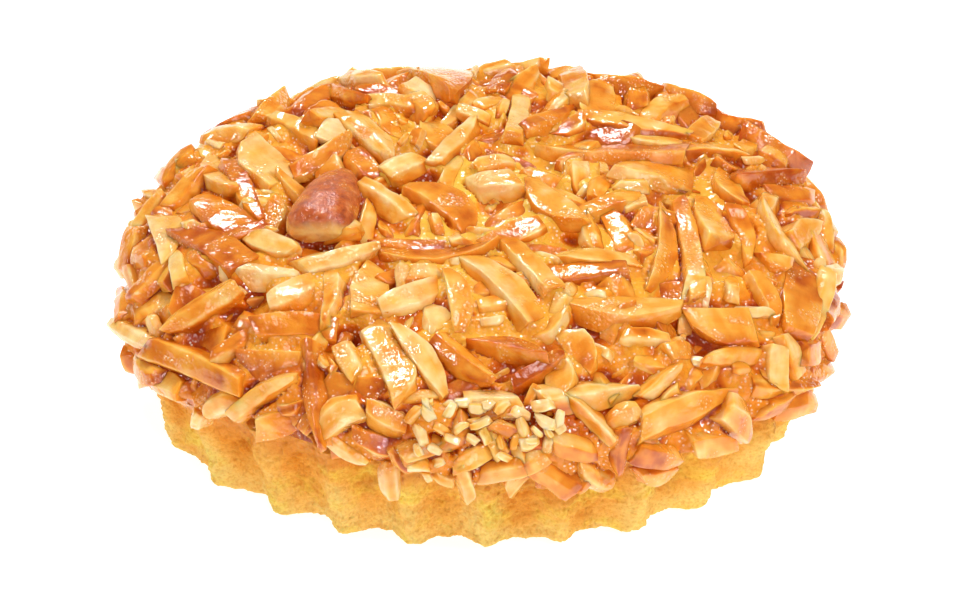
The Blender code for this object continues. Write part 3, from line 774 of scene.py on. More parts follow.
def random_tone(rng, x, y):
    """How toasted a piece is: the middle of the tart stayed pale and the rim is browner."""
    reach = math.hypot(x, y) / REACH
    back = BACK_RIGHT_TONE if y > BACK_RIGHT_START and x > 0 else 0.0
    back = BACK_LEFT_TONE if y > 0 > x else back
    tone = rng.normal(USUAL_TONE + RIM_TONE * reach**2 + back, TONE_SPREAD + RIM_TONE_SPREAD * reach)
    return float(np.clip(tone, PALEST, DARKEST_RIGHT if x > 0 else DARKEST_LEFT))


def spread_out(tries):
    """Pairs of random numbers as places all over the map, up to the topping's lower edge."""
    turns = 2 * math.pi * tries[:, 1]
    reach = (edge_reach(turns) - FILL_MARGIN) * np.sqrt(tries[:, 0])
    return reach * np.cos(turns), reach * np.sin(turns)


def layer_of_fillers(rng, filling, taken):
    """Pieces over the whole map that keep clear of the taken spots: the longest come first, and each goes to
    the barest of a few random places."""
    spots = np.array([spot for piece in taken for spot in spots_of(piece)] or [(99.0, 99.0)])
    found = []
    for i in range(filling.count):
        places = np.stack(spread_out(rng.random((FILL_TRIES, 2))), axis=1)
        bare = np.linalg.norm(places[:, None] - spots[None], axis=2).min(axis=1)
        x, y = (float(value) for value in places[bare.argmax()])
        share = i / filling.count
        length = filling.longest + (filling.shortest - filling.longest) * share
        length *= rng.uniform(*LENGTH_SPREAD)
        form = rng.choice(FILLER_FORMS, p=FORM_SHARES)
        if form == "chunk":
            length = min(length, rng.uniform(*CHUNK_LENGTHS))
            width = length * rng.uniform(*CHUNK_WIDTH_SHARES)
        elif form == "slab":
            width = min(0.6 * length, rng.uniform(*SLAB_WIDTHS))
        else:
            width = min(0.5 * length, rng.uniform(*STICK_WIDTHS))
        if float(edge_reach(math.atan2(y, x))) - math.hypot(x, y) < EDGE_BAND:
            length, width = min(length, LONGEST_AT_EDGE), min(width, WIDEST_AT_EDGE)
        thick = rng.uniform(*FILLER_THICKNESSES)
        heading = heading_at(rng, x, y, length)
        tone = random_tone(rng, x, y)
        found.append(Almond(x, y, heading, length, width, thick, tone, str(form), True))
        spots = np.concatenate([spots, [(x, y)]])
    return found


def lie_lowest(ground, piece):
    """Settles a piece. One that fills a gap is first turned to where it leaves the least hollow under it."""
    turns = [0.0]
    if piece.fills:
        turns += [turn for turn in TURNS_TRIED
                  if overhang(piece.x, piece.y, piece.heading + turn, piece.length) < MOST_OVERHANG]
    tried = [piece._replace(heading=piece.heading + turn) for turn in turns]
    settled = [settle(ground, turned) for turned in tried]
    best = min(range(len(turns)), key=lambda k: settled[k][0])
    return tried[best], settled[best][1], settled[best][2]


def corners_of(piece, middle, axes):
    """The corners of a piece's middle plane."""
    half = half_sizes(piece)
    along, across = axes[0] * half[0], axes[1] * half[1]
    return [middle + (along * way + across * side) * CORNER_SHARE for way, side in CORNERS]


def sticks_out(corners, margin=0.0):
    """Whether a corner of a piece reaches past the tart's outline."""
    for corner in corners:
        x, y = corner[0] - OUTLINE_MIDDLE, corner[1]
        angle = math.atan2(y / OUTLINE_HALF_WIDTH, x / OUTLINE_HALF_LENGTH)
        edge = math.hypot(*oval(angle, OUTLINE_HALF_LENGTH, OUTLINE_HALF_WIDTH)) + margin
        if math.hypot(x, y) > edge:
            return True
    return False


class Placed(NamedTuple):
    """A piece that lies in its place."""

    piece: Almond
    middle: np.ndarray
    axes: np.ndarray


def drawn_in(ground, piece):
    """A shown piece in its place, moved towards the top of the tart until it is within the outline."""
    for _ in range(DRAWN_STEPS):
        piece, middle, axes = lie_lowest(ground, piece)
        if not sticks_out(corners_of(piece, middle, axes), SHOWN_MARGIN):
            break
        reach = math.hypot(piece.x, piece.y)
        piece = piece._replace(x=piece.x * (1 - DRAWN_IN / reach), y=piece.y * (1 - DRAWN_IN / reach))
    return piece, middle, axes


def chips_in_gaps(ground, rng):
    """Small chips, each in the deepest of a few random places."""
    even = blurred(np.maximum(ground.height, LOWEST_GROUND), GAP_BLUR)
    found = []
    for i in range(CHIPS + CRUMBS):
        size, usual_tone = (1.0, CHIP_TONE) if i < CHIPS else (CRUMB_SIZE, CRUMB_TONE)
        tries = rng.random((CHIP_TRIES, 2))
        x, y = spread_out(tries)
        if i >= CHIPS:
            x = CRUMB_SPOT[0] + CRUMB_SPREAD[0] * (2 * tries[:, 0] - 1)
            y = CRUMB_SPOT[1] + CRUMB_SPREAD[1] * (2 * tries[:, 1] - 1)
        gap = sample(even, x, y) - sample(ground.height, x, y)
        best = int(gap.argmax())
        length = rng.uniform(*CHIP_LENGTHS) * size
        tone = float(np.clip(rng.normal(usual_tone, CHIP_TONE_SPREAD), 0.0, CHIP_DARKEST))
        heading = rng.uniform(-90, 90)
        width = length * rng.uniform(*CHIP_WIDTH_SHARES)
        thick = length * rng.uniform(*CHIP_THICKNESS_SHARES)
        piece = Almond(float(x[best]), float(y[best]), heading, length, width, thick, tone, "chunk", True)
        found.append(piece)
        ground.height[ground.window(piece.x, piece.y, 0.3 * length)] += 0.5 * piece.thick
    return found


def heap_of_almonds(ground, rng):
    """Every almond in its place, lowest first. Those that end up wholly covered are left out."""
    placed = []

    def put(piece, middle, axes):
        lay(ground, piece, middle, axes, len(placed))
        placed.append(Placed(piece, middle, axes))

    shown = SHOWN + (SKINNED,)
    for filling in FILLED:
        taken = shown if filling is FILLED[-1] else ()
        for piece in layer_of_fillers(rng, filling, taken):
            piece, middle, axes = lie_lowest(ground, piece)
            corners = corners_of(piece, middle, axes)
            highest = filling.highest + rim_rise(piece.x, piece.y)
            top = max(corner[2] for corner in corners) + 0.5 * piece.thick
            if top_height(piece, middle) <= highest and not sticks_out(corners) and top <= TOP_HEIGHT:
                put(piece, middle, axes)
    for piece in shown:
        put(*drawn_in(ground, piece))
    before = ground.height.copy()
    chips = chips_in_gaps(ground, rng)
    ground.height = before
    for number, piece in enumerate(chips):
        piece, middle, axes = lie_lowest(ground, piece)
        highest = CHIP_HIGHEST if number < CHIPS else CRUMB_HIGHEST
        if top_height(piece, middle) <= highest and not sticks_out(corners_of(piece, middle, axes)):
            put(piece, middle, axes)
    seen = np.unique(ground.owner, return_counts=True)
    cells = dict(zip(seen[0].tolist(), seen[1].tolist()))
    return [one for number, one in enumerate(placed) if cells.get(number, 0) >= LEAST_CELLS]


def rounded_section(corners, radius):
    """A cross-section with its corners rounded and two points on each side. With each point comes how near a
    corner it is, from 0 to 1, and the side that it is on, a half between two sides at a corner."""
    points, nearness, sides = [], [], []
    for i, corner in enumerate(corners):
        before, after = corners[i - 1], corners[(i + 1) % len(corners)]
        to_before = before - corner
        to_after = after - corner
        cut_before = min(radius / np.linalg.norm(to_before), MOST_CUT)
        cut_after = min(radius / np.linalg.norm(to_after), MOST_CUT)
        start = corner + to_before * cut_before
        end = corner + to_after * cut_after
        next_start = after - to_after * cut_after
        soft = 0.5 * corner + 0.25 * (start + end)
        points += [start, soft, end, end + (next_start - end) / 3, end + (next_start - end) * 2 / 3]
        nearness += [0.6, 1.0, 0.6, 0.0, 0.0]
        sides += [i - 1, i - 0.5, i, i, i]
    return np.array(points), np.array(nearness), np.array(sides)


def section_corners(form, rng):
    """The corners of a piece's cross-section, in shares of its half width and half thickness."""
    def near(value, size):
        return value + rng.uniform(-size, size)

    if form == "chunk":
        return [(near(-0.9, 0.1), near(-0.7, 0.3)), (near(0.6, 0.3), -1.0), (1.0, near(0.0, 0.4)),
                (near(0.5, 0.25), 1.0), (near(-0.6, 0.25), near(0.8, 0.2))]
    if form in ("slab", "moon"):
        return [(-1.0, near(-0.6, 0.25)), (near(0.8, 0.15), -1.0), (1.0, near(0.35, 0.35)),
                (near(-0.75, 0.2), 1.0)]
    if form != "block" and rng.random() < 0.5:
        return [(-1.0, -0.9), (1.0, near(-0.8, 0.2)), (near(0.7, 0.2), near(0.45, 0.25)),
                (near(0.0, 0.3), 1.0), (near(-0.8, 0.15), near(0.4, 0.3))]
    return [(-1.0, -1.0), (1.0, near(-0.85, 0.15)), (near(0.7, 0.25), 1.0),
            (near(-0.7, 0.25), near(0.8, 0.2))]


class Outline(NamedTuple):
    """A piece's outline from above: how wide it is left at its two ends, how early it narrows, and how the
    narrowing is shared between its two sides."""

    tips: tuple
    power: float
    left_share: float

    def sides_at(self, share):
        """The places of the left and right side there, in half widths."""
        end = 2 * share
        lost = (1 - self.tips[int(end > 0)]) * abs(end) ** self.power
        return -1 + 2 * lost * self.left_share, 1 - 2 * lost * (1 - self.left_share)


def random_outline(form, rng):
    """An outline as that form has it. Its draws are taken in the order first end, other end, power, sides."""
    if form in OUTLINES:
        first, other, power, sides = OUTLINES[form]
        tips = (rng.uniform(*first), rng.uniform(*other))
        power = rng.uniform(*power)
        if sides == "either":
            return Outline(tips, power, rng.choice([0.0, 1.0]))
        return Outline(tips, power, 0.5 if sides == "both" else rng.uniform(0.0, 1.0))
    sharp = rng.uniform(*SHARP_ENDS)
    blunt = rng.uniform(*BLUNT_ENDS)
    tips = (sharp, blunt) if rng.random() < 0.5 else (blunt, sharp)
    return Outline(tips, rng.uniform(*STICK_POWERS), rng.choice(STICK_SIDES))


def tone_colour(tone):
    """The colour of almond toasted so far."""
    stops = [stop for stop, _ in TONES]
    return np.stack([np.interp(tone, stops, [colour[i] for _, colour in TONES]) for i in range(3)], axis=-1)


class Meshing:
    """Collects the vertices, faces and vertex values of one joined mesh."""

    def __init__(self):
        self.points, self.faces, self.tints, self.locals, self.skins = [], [], [], [], []
        self.spots, self.bare = [], []
        self.count = 0

    def add(self, points, faces, tints, local, skin=None, bare=False):
        """Adds one piece: its tints, its points as it was before it was laid, how much of it is skin, and
        whether it stays bare of glaze."""
        self.points.append(points)
        self.bare += [bare] * len(faces)
        self.faces += [tuple(self.count + i for i in face) for face in faces]
        self.tints.append(tints)
        self.locals.append(local)
        self.skins.append(np.zeros(len(points)) if skin is None else skin)
        self.count += len(points)

    def build(self, name):
        """The mesh as an object, in metres."""
        mesh = bpy.data.meshes.new(name)
        points = np.concatenate(self.points)
        mesh.from_pydata((points * MM).tolist(), [], self.faces)
        tints = np.concatenate(self.tints)
        colours = np.concatenate([tints, np.ones((len(tints), 1))], axis=1)
        mesh.attributes.new("tint", "FLOAT_COLOR", "POINT").data.foreach_set("color", colours.ravel())
        local = np.concatenate(self.locals)
        mesh.attributes.new("lying", "FLOAT_VECTOR", "POINT").data.foreach_set("vector", local.ravel())
        skin = np.concatenate(self.skins)
        mesh.attributes.new("skin", "FLOAT", "POINT").data.foreach_set("value", skin)
        mesh.shade_smooth()
        mesh.update()
        made = bpy.data.objects.new(name, mesh)
        bpy.context.scene.collection.objects.link(made)
        return made


def ring_faces(rings, count):
    """Faces of a closed loft of rings, with a fan at each end whose centre comes after the rings."""
    faces = []
    for level in range(rings - 1):
        low, high = level * count, (level + 1) * count
        for i in range(count):
            j = (i + 1) % count
            faces.append((low + i, low + j, high + j, high + i))
    first, last = rings * count, rings * count + 1
    top = (rings - 1) * count
    for i in range(count):
        j = (i + 1) % count
        faces.append((j, i, first))
        faces.append((top + i, top + j, last))
    return faces


def on_map(piece, points):
    """Where points of a piece are on the map, and their heights over the layer, as rows."""
    point, along, across, _ = layer_frame(piece.x, piece.y, piece.heading)
    u, v = (points - point) @ along, (points - point) @ across
    turn = math.radians(piece.heading)
    x = piece.x + u * math.cos(turn) - v * math.sin(turn)
    y = piece.y + u * math.sin(turn) + v * math.cos(turn)
    under, _, _, out = layer_frame(x, y)
    return np.stack([x, y, ((points - under) * out).sum(axis=1)])


def noise_at(points, waves, shift=0.0, kind=noise.noise):
    """The noise at each of the points."""
    return np.array([kind(Vector(point * waves + shift)) for point in points])


class Loft(NamedTuple):
    """A piece about its middle: its points ring by ring, how many rings they are, the corners of the
    cross-section, and for the points of one ring how near a corner each is and the side that it is on."""

    points: np.ndarray
    rings: int
    corners: list
    nearness: np.ndarray
    sides: np.ndarray


def cut_almond(piece, rng):
    """The shape of a cut almond, without its noise."""
    radius = min(rng.uniform(*EDGE_RADII), 0.05 * piece.length)
    half = 0.5 * np.array([piece.width, piece.thick])
    corners = [np.array(corner) * half for corner in section_corners(piece.form, rng)]
    section, nearness, sides = rounded_section(corners, radius)
    outline = random_outline(piece.form, rng)
    thin_tips = rng.uniform(*TIP_THICKNESSES, 2)
    count = RINGS_OF_CHUNK if piece.form == "chunk" else RINGS_OF_LONG
    # Two smaller rings at each end round the edges of the end faces.
    end = min(0.12, radius / piece.length)
    inner = np.linspace(-0.5, 0.5, count)[1:-1] * (1 - 2 * end)
    shares = np.concatenate([[-0.5, -0.5 + 0.3 * end], inner, [0.5 - 0.3 * end, 0.5]])
    cap = np.ones(len(shares))
    cap[[0, -1]] = 1 - 1.1 * radius / half.max()
    cap[[1, -2]] = 1 - 0.35 * radius / half.max()
    skew = rng.uniform(*END_SKEWS, 2)
    lean = rng.uniform(*END_LEANS, 2)
    bend = rng.uniform(*BENDS) * piece.length
    sway = rng.uniform(*SWAYS) * piece.length
    twist = rng.uniform(*TWISTS)
    rings = []
    for share, scale in zip(shares, cap):
        left, right = outline.sides_at(share)
        k = int(share > 0)
        deep = 1 - (1 - thin_tips[k]) * abs(2 * share) ** 2.5
        turn = twist * 2 * share
        v = half[0] * (0.5 * (left + right) + 0.5 * (right - left) * section[:, 0] / half[0] * scale)
        w = section[:, 1] * deep * scale
        v, w = v * math.cos(turn) - w * math.sin(turn), w * math.cos(turn) + v * math.sin(turn)
        nearly = abs(2 * share) ** 3
        u = share * piece.length + nearly * (skew[k] * v + lean[k] * w)
        arch = 1 - (2 * share) ** 2
        rings.append(np.stack([u, v + sway * arch, w - bend * arch], axis=1))
    return Loft(with_centres(rings), len(rings), corners, nearness, sides)


def with_centres(rings):
    """The points of the rings, and after them the middles of the first and the last ring."""
    return np.concatenate(rings + [[rings[0].mean(axis=0)], [rings[-1].mean(axis=0)]])


def piece_tones(piece, loft, grain, fine, rng):
    """How toasted a cut almond is at each of its points."""
    corners = loft.corners
    side_tones = rng.normal(0, SIDE_TONE_SPREAD, len(corners) + 1)
    for k in range(len(corners)):
        faces_up = (corners[k][1] + corners[(k + 1) % len(corners)][1]) / piece.thick
        side_tones[k] += TOP_TONE * faces_up
    side_tones[-1] = side_tones[0]
    sides = np.tile(loft.sides, loft.rings) % len(corners)
    side = np.interp(sides, np.arange(len(corners) + 1), side_tones)
    side = np.concatenate([side, rng.normal(0, FACE_TONE_SPREAD, 2)])
    along = loft.points[:, 0] / piece.length
    tone = piece.tone + side + rng.uniform(*LENGTH_TONES) * along
    tone = tone + GRAIN_TONE * grain[:, 0] + FINE_TONE * fine[:, 1]
    edge = np.concatenate([np.tile(loft.nearness, loft.rings), [0.3, 0.3]])
    return tone + rng.choice(EDGE_TONES) * edge + TIP_TONE * np.abs(2 * along) ** 4


def add_piece(meshing, ground, placed, rng):
    """One cut almond in its place, with its own colours and painted shade where it lies deep in the heap."""
    piece, middle, axes = placed
    loft = cut_almond(piece, rng)
    offset = placed.middle * 3.7
    grain = noise_at(loft.points, GRAIN_WAVES, offset, noise.noise_vector)
    fine = noise_at(loft.points, FINE_WAVES, offset, noise.noise_vector)
    place = middle + (loft.points + GRAIN_RELIEF * grain + FINE_RELIEF * fine) @ axes
    tone = piece_tones(piece, loft, grain, fine, rng)
    spots = on_map(piece, place)
    # Painted shade: the piece is darker the deeper it lies under the heap's smoothed top.
    deep = sample(ground.even, spots[0], spots[1]) - spots[2]
    tone = tone + DEPTH_PAINTED_SHADE * np.clip(deep, *DEPTH_PAINTED_SHADE_LIMITS)
    local = loft.points + rng.uniform(-50, 50, 3)
    meshing.add(place, ring_faces(loft.rings, len(loft.sides)), tone, local, bare=not piece.fills)
    meshing.spots.append(spots)


def wetted(ground, tones, spots):
    """The colours of a piece, darker down where the caramel touches it: partly caramel soaked in, and partly
    painted contact shade.
    """
    # Partly soaked-in caramel, partly painted contact shade: darker the closer a point is over the caramel.
    over = np.maximum(0, spots[2] - sample(ground.glaze, spots[0], spots[1], FINE_CELL))
    return tone_colour(np.clip(tones + WET_AND_CONTACT_SHADE_TONE * np.exp(-over / WET_AND_CONTACT_SHADE_REACH), 0, 1))


def add_half_almond(meshing, placed):
    """The end of a whole almond with its skin on: a cut egg, pale where it is cut."""
    piece, middle, axes = placed
    rings = []
    for level in range(SKIN_RINGS):
        share = level / (SKIN_RINGS - 1)
        # An egg's outline, cut off at its thick end, with the edge of the cut rounded.
        size = math.sqrt(max(0.0, 1 - (1.02 * share - 0.18) ** 2 / 0.7)) if share > 0.18 else 0.98
        size *= 1 - 0.28 * max(0.0, 1 - share / 0.14) ** 2
        angles = np.arange(SKIN_SECTORS) * 2 * math.pi / SKIN_SECTORS
        v = np.sign(np.cos(angles)) * np.abs(np.cos(angles)) ** 0.9 * 0.5 * piece.width * size
        w = np.sin(angles) * 0.5 * piece.thick * size
        w = np.where(w < 0, 0.5 * w, w)
        u = (share - 0.5) * piece.length * np.ones(SKIN_SECTORS)
        rings.append(np.stack([-u, v, w], axis=1))
    points = with_centres(rings)
    grain = noise_at(points, 0.5)
    wrinkle = noise_at(points, np.array(WRINKLE_WAVES))
    points = points * (1 + SKIN_BUMPS * grain + SKIN_WRINKLES * wrinkle)[:, None]
    u = points[:, 0] / piece.length
    v = points[:, 1] / piece.width
    w = points[:, 2] / piece.thick
    # The skin is missing underneath, at the cut and along one side, with a ragged edge.
    ragged = 0.10 * grain + 0.05 * wrinkle
    cut = 2.8 * np.maximum(0, u - 0.34) + 3.4 * np.maximum(0, -v - 0.34)
    skin = np.clip((w + 0.35 + ragged - cut) * 5, 0, 1)
    place = middle + points @ axes
    faces = [face[::-1] for face in ring_faces(SKIN_RINGS, SKIN_SECTORS)]
    meshing.add(place, faces, CUT_TONE + CUT_GRAIN * grain, points, skin, bare=True)
    meshing.spots.append(on_map(piece, place))


def blurred(values, sigma, cell=CELL):
    """The grid smoothed by a Gaussian of that many millimetres."""
    count = values.shape[0]
    frequency = np.fft.fftfreq(count, cell)
    weight = np.exp(-2 * (math.pi * sigma * frequency) ** 2)
    spectrum = np.fft.fft2(values) * weight[:, None] * weight[None, :]
    return np.fft.ifft2(spectrum).real


def sample(grid, x, y, cell=CELL):
    """The grid's values between its cells."""
    i = np.clip((y + MAP_HALF) / cell, 0, grid.shape[0] - 1.001)
    j = np.clip((x + MAP_HALF) / cell, 0, grid.shape[1] - 1.001)
    i0, j0 = i.astype(int), j.astype(int)
    fi, fj = i - i0, j - j0
    return ((grid[i0, j0] * (1 - fj) + grid[i0, j0 + 1] * fj) * (1 - fi)
            + (grid[i0 + 1, j0] * (1 - fj) + grid[i0 + 1, j0 + 1] * fj) * fi)


def shifted_extreme(heights, ball, sign):
    """The highest (sign 1) or lowest (sign -1) of the grid's heights under a ball at each cell."""
    best = np.full_like(heights, -math.inf)
    for i, j, bulge in ball:
        best = np.maximum(best, np.roll(sign * heights, (i, j), axis=(0, 1)) + bulge)
    return sign * best


def disc(reach, radius):
    """The cells within reach, each with the height there of the top of a ball, or 0 for a flat disc."""
    cells = int(reach / FINE_CELL)
    found = []
    for i in range(-cells, cells + 1):
        for j in range(-cells, cells + 1):
            away = math.hypot(i, j) * FINE_CELL
            if away <= reach:
                found.append((i, j, 0.0 if radius == math.inf else math.sqrt(radius**2 - away**2) - radius))
    return found


def rolled_over(heights, radius):
    """The heights with every hollow filled that a ball of that radius can't get into."""
    ball = disc(radius, radius)
    return shifted_extreme(shifted_extreme(heights, ball, 1), ball, -1)


def glaze_heights(ground, meshings, rng):
    """The heap's top and the glaze's surface as heights over the layer, on a fine grid of its map."""
    points, faces, bare = [], [], []
    for meshing in meshings:
        bare += meshing.bare
        start = len(points)
        for part in meshing.points:
            points += part.tolist()
        faces += [tuple(start + i for i in face) for face in meshing.faces]
    tree = BVHTree.FromPolygons(points, faces)
    steps = np.arange(-MAP_HALF, MAP_HALF + FINE_CELL / 2, FINE_CELL)
    x, y = np.meshgrid(steps, steps)
    under, _, _, out = layer_frame(x, y)
    tops = sample(ground.bed, x, y)
    kept = np.zeros(x.shape, bool)
    for i, j in np.argwhere(np.hypot(x, y) < MAP_HALF - 2):
        start = Vector(under[i, j] + RAY_START * out[i, j])
        hit = tree.ray_cast(start, Vector(-out[i, j]), 2 * RAY_START)
        if hit[0] is not None:
            tops[i, j] = max(tops[i, j], RAY_START - hit[3])
            kept[i, j] = bare[hit[2]]
    hollows = blurred(rng.normal(size=tops.shape), HOLLOW_SIZE, FINE_CELL)
    hollows = np.clip(hollows / hollows.std(), 0, 2) * GLAZE_HOLLOWS
    hollows *= np.clip((edge_reach(np.arctan2(y, x)) - np.hypot(x, y)) / EDGE_BAND, 0.2, 1)
    tip_x, tip_y, tip_size, tip_depth = TIP_BARE
    hollows += tip_depth * np.exp(-0.5 * ((x - tip_x) ** 2 + (y - tip_y) ** 2) / tip_size**2)
    glaze = shifted_extreme(rolled_over(tops, GLAZE_BALL), disc(GLAZE_PARTING, math.inf), -1)
    glaze = glaze - GLAZE_DROP - hollows
    glaze = np.where(kept, np.minimum(glaze, tops - 2 * GLAZE_BARE), glaze)
    glaze = blurred(glaze, GLAZE_SOFT, FINE_CELL)
    return tops, np.where(kept, np.minimum(glaze, tops - GLAZE_BARE), glaze)


def make_caramel(ground):
    """The caramel glaze between the almonds, closed under the crust's rim."""
    even = blurred(ground.top, TOP_BLUR, FINE_CELL)
    angles = np.arange(GLAZE_SECTORS) * 2 * math.pi / GLAZE_SECTORS
    end = edge_reach(angles) + WIDE_DRIPS * np.sin(19 * angles + 1.0)
    end += NARROW_DRIPS * np.sin(31 * angles) * np.sin(7 * angles)
    rings, tints = [], []
    for level in range(GLAZE_LEVELS + 1):
        reach = end * max(level, 0.02) / GLAZE_LEVELS
        x, y = reach * np.cos(angles), reach * np.sin(angles)
        point, _, _, out = layer_frame(x, y)
        rise = sample(ground.glaze, x, y, FINE_CELL)
        fall = np.clip((reach - (end - END_WIDTH)) / END_WIDTH, 0, 1) ** 2
        rings.append(point + out * (rise - END_FALL * fall)[:, None])
        # The tint's first part, the depth under the heap's smoothed top, later darkens the caramel: partly
        # thicker caramel, partly painted shade.
        tints.append(np.stack([sample(even, x, y, FINE_CELL) - rise, reach / REACH, fall], axis=1))
    climb = RIM_CLIMB * bare_wall(angles)
    for share, under_rim in UNDERSIDE:
        x, y = oval(angles, LAYER.half_length * share, LAYER.half_width * share)
        rings.append(np.stack([x, y, RIM_HEIGHT - under_rim + climb], axis=1))
        tints.append(np.tile(HIDDEN_TINT, (GLAZE_SECTORS, 1)))
    points = with_centres(rings)
    tints = np.concatenate(tints + [tints[0][:1], tints[-1][:1]])
    meshing = Meshing()
    meshing.add(points, [face[::-1] for face in ring_faces(len(rings), GLAZE_SECTORS)], tints, points)
    return meshing.build("caramel_glaze")


def hand_made(angle, start):
    """A slow wave round the crust, between -1 and 1."""
    return 0.6 * np.sin(3 * angle + start) + 0.4 * np.sin(5 * angle + 2.3 * start + 1.1)


def crust_wall(angle, height, inset):
    """Points of the crust's fluted wall, and how near to a ridge each is."""
    flare = RIM_FLARE * height / RIM_HEIGHT
    wander = FLUTE_WANDER * hand_made(angle, 0.7)
    turn = angle - FLUTE_SPREAD * np.sin(2 * angle) + wander
    ridge = (0.5 + 0.5 * np.cos(FLUTES * (turn - math.radians(FIRST_FLUTE)))) ** FLUTE_SHARPNESS
    uneven = FLUTE_UNEVEN * hand_made(angle, 2.0)
    swell = sum(size * bell(angle, way, span) for way, size, span in WALL_SWELLS)
    out = flare - FLUTE_DEPTH * (1 + uneven) * (1 - ridge) - inset + swell
    x, y = oval(angle, FOOT_HALF_LENGTH + out, FOOT_HALF_WIDTH + out, CRUST_FULLNESS)
    return np.stack([x, y, height], axis=1), ridge


def make_crust():
    """The shortcrust case, with crumbs and pits in its wall."""
    angles = np.arange(CRUST_SECTORS) * 2 * math.pi / CRUST_SECTORS
    rings, ridges = [], []
    tall = RIM_HEIGHT + RIM_CLIMB * bare_wall(angles)
    for level in range(CRUST_LEVELS):
        height = tall * level / (CRUST_LEVELS - 1)
        inset = FOOT_ROUND * np.maximum(0.0, 1 - height / FOOT_ROUND) ** 2
        points, ridge = crust_wall(angles, height, inset)
        rings.append(points)
        ridges.append(ridge)
    for share in TOP_RINGS:
        rings.append(rings[-1] * np.array([share, share, 1]))
        ridges.append(np.zeros(CRUST_SECTORS))
    for share in UNDERSIDE_RINGS:
        rings.insert(0, rings[0] * np.array([share, share, 1]))
        ridges.insert(0, ridges[0])
    points = np.concatenate(rings + [np.array([[0, 0, 0.0]]), np.array([[0, 0, RIM_HEIGHT]])])
    topmost = np.concatenate([np.tile(tall, len(rings)), [RIM_HEIGHT, RIM_HEIGHT]])
    ridge = np.concatenate(ridges + [[0.5], [0.5]])
    out = unit(points * np.array([1, 1, 0]) + 1e-9)
    crumb = np.array([noise.fractal(Vector(point * 0.55), 0.6, 2.1, 4) for point in points])
    pits = noise_at(points, 1.5, 5) + 0.5 * noise_at(points, 3.1, -7)
    swell = noise_at(points, 0.19, 11)
    size = CRUMB_RELIEF * crumb + PIT_RELIEF * np.minimum(0, pits) + SWELL_RELIEF * swell
    foot = points[:, 2] < ON_FLOOR
    wall = (points[:, 2] > ON_FLOOR) & (points[:, 2] < topmost - ON_FLOOR)
    moved = points + out * np.where(wall | foot, size, 0)[:, None]
    moved[foot, 2] = 0.0
    wall_foot = np.linalg.norm(rings[len(UNDERSIDE_RINGS)][:, :2], axis=1).min()
    raised = foot & (np.linalg.norm(points[:, :2], axis=1) > RAGGED_FROM * wall_foot)
    moved[raised, 2] = np.maximum(0, crumb[raised] + FOOT_RAISED) * FOOT_RAGGED
    meshing = Meshing()
    tints = np.stack([ridge, points[:, 2] / topmost, crumb], axis=1)
    meshing.add(moved, ring_faces(len(rings), CRUST_SECTORS), tints, points)
    return meshing.build("shortcrust")


class Shading:
    """A material in the making: its shader, and short ways to add nodes and links to it."""

    def __init__(self, name):
        self.material = bpy.data.materials.new(name)
        self.material.use_nodes = True
        self.tree = self.material.node_tree
        self.shader = self.tree.nodes["Principled BSDF"]

    def connect(self, socket, value):
        """Links the socket to another one, or gives it a plain value."""
        if isinstance(value, bpy.types.NodeSocket):
            self.tree.links.new(value, socket)
        else:
            socket.default_value = value

    def node(self, kind, inputs=None, **settings):
        """A new node with these settings, its inputs linked or given plain values."""
        made = self.tree.nodes.new(kind)
        for key, value in settings.items():
            setattr(made, key, value)
        for key, value in (inputs or {}).items():
            self.connect(made.inputs[key], value)
        return made

    def attribute(self, name, output):
        """A value that the mesh brings along for each vertex."""
        return self.node("ShaderNodeAttribute", attribute_name=name).outputs[output]

    def place(self):
        """The place on the object, in metres."""
        return self.node("ShaderNodeTexCoord").outputs["Object"]

    def times(self, first, second, plus=None):
        """The first times the second, and a third added to that where it is given."""
        inputs = {0: first, 1: second}
        operation = "MULTIPLY"
        if plus is not None:
            inputs[2] = plus
            operation = "MULTIPLY_ADD"
        return self.node("ShaderNodeMath", inputs, operation=operation).outputs[0]

    def grain(self, place, scale, detail, roughness=0.5, pattern=0.0):
        """Noise of that many waves to the unit. Other patterns lie elsewhere."""
        inputs = {"Vector": place, "Scale": scale, "Detail": detail, "Roughness": roughness}
        if not pattern:
            return self.node("ShaderNodeTexNoise", inputs).outputs["Fac"]
        inputs["W"] = pattern
        return self.node("ShaderNodeTexNoise", inputs, noise_dimensions="4D").outputs["Fac"]

    def ranged(self, value, low, high, most=1.0):
        """The value brought to 0 at low and to most at high."""
        inputs = {"Value": value, "From Min": low, "From Max": high, "To Max": most}
        return self.node("ShaderNodeMapRange", inputs).outputs["Result"]

    def parts(self, name):
        """The three parts of a value that the mesh brings along."""
        return self.node("ShaderNodeSeparateXYZ", {"Vector": self.attribute(name, "Vector")}).outputs

    def bubbles(self, place, scale):
        """The distance to the nearest bubble's middle."""
        return self.node("ShaderNodeTexVoronoi", {"Vector": place, "Scale": scale}).outputs["Distance"]

    def mix(self, share, first, second, blend="MIX"):
        """The first colour with that share of the second."""
        made = self.node("ShaderNodeMix", data_type="RGBA", blend_type=blend)
        for index, value in ((0, share), (6, first), (7, second)):
            if isinstance(value, tuple):
                value = (*value, 1.0)
            self.connect(made.inputs[index], value)
        return made.outputs[2]

    def ramp(self, value, stops):
        """A colour ramp of (place, grey or colour) stops."""
        made = self.node("ShaderNodeValToRGB", {"Fac": value})
        elements = made.color_ramp.elements
        while len(elements) < len(stops):
            elements.new(0.5)
        for element, (place, colour) in zip(elements, stops):
            element.position = place
            element.color = (*colour, 1.0) if isinstance(colour, tuple) else (colour, colour, colour, 1.0)
        return made.outputs["Color"]

    def bump(self, height, strength, distance=FINE_BUMP):
        """The normal over that relief."""
        inputs = {"Strength": strength, "Distance": distance, "Height": height}
        return self.node("ShaderNodeBump", inputs).outputs["Normal"]

    def finish(self, values):
        """Gives the shader its values, each linked or plain, and returns the material."""
        for name, value in values.items():
            self.connect(self.shader.inputs[name], value)
        return self.material


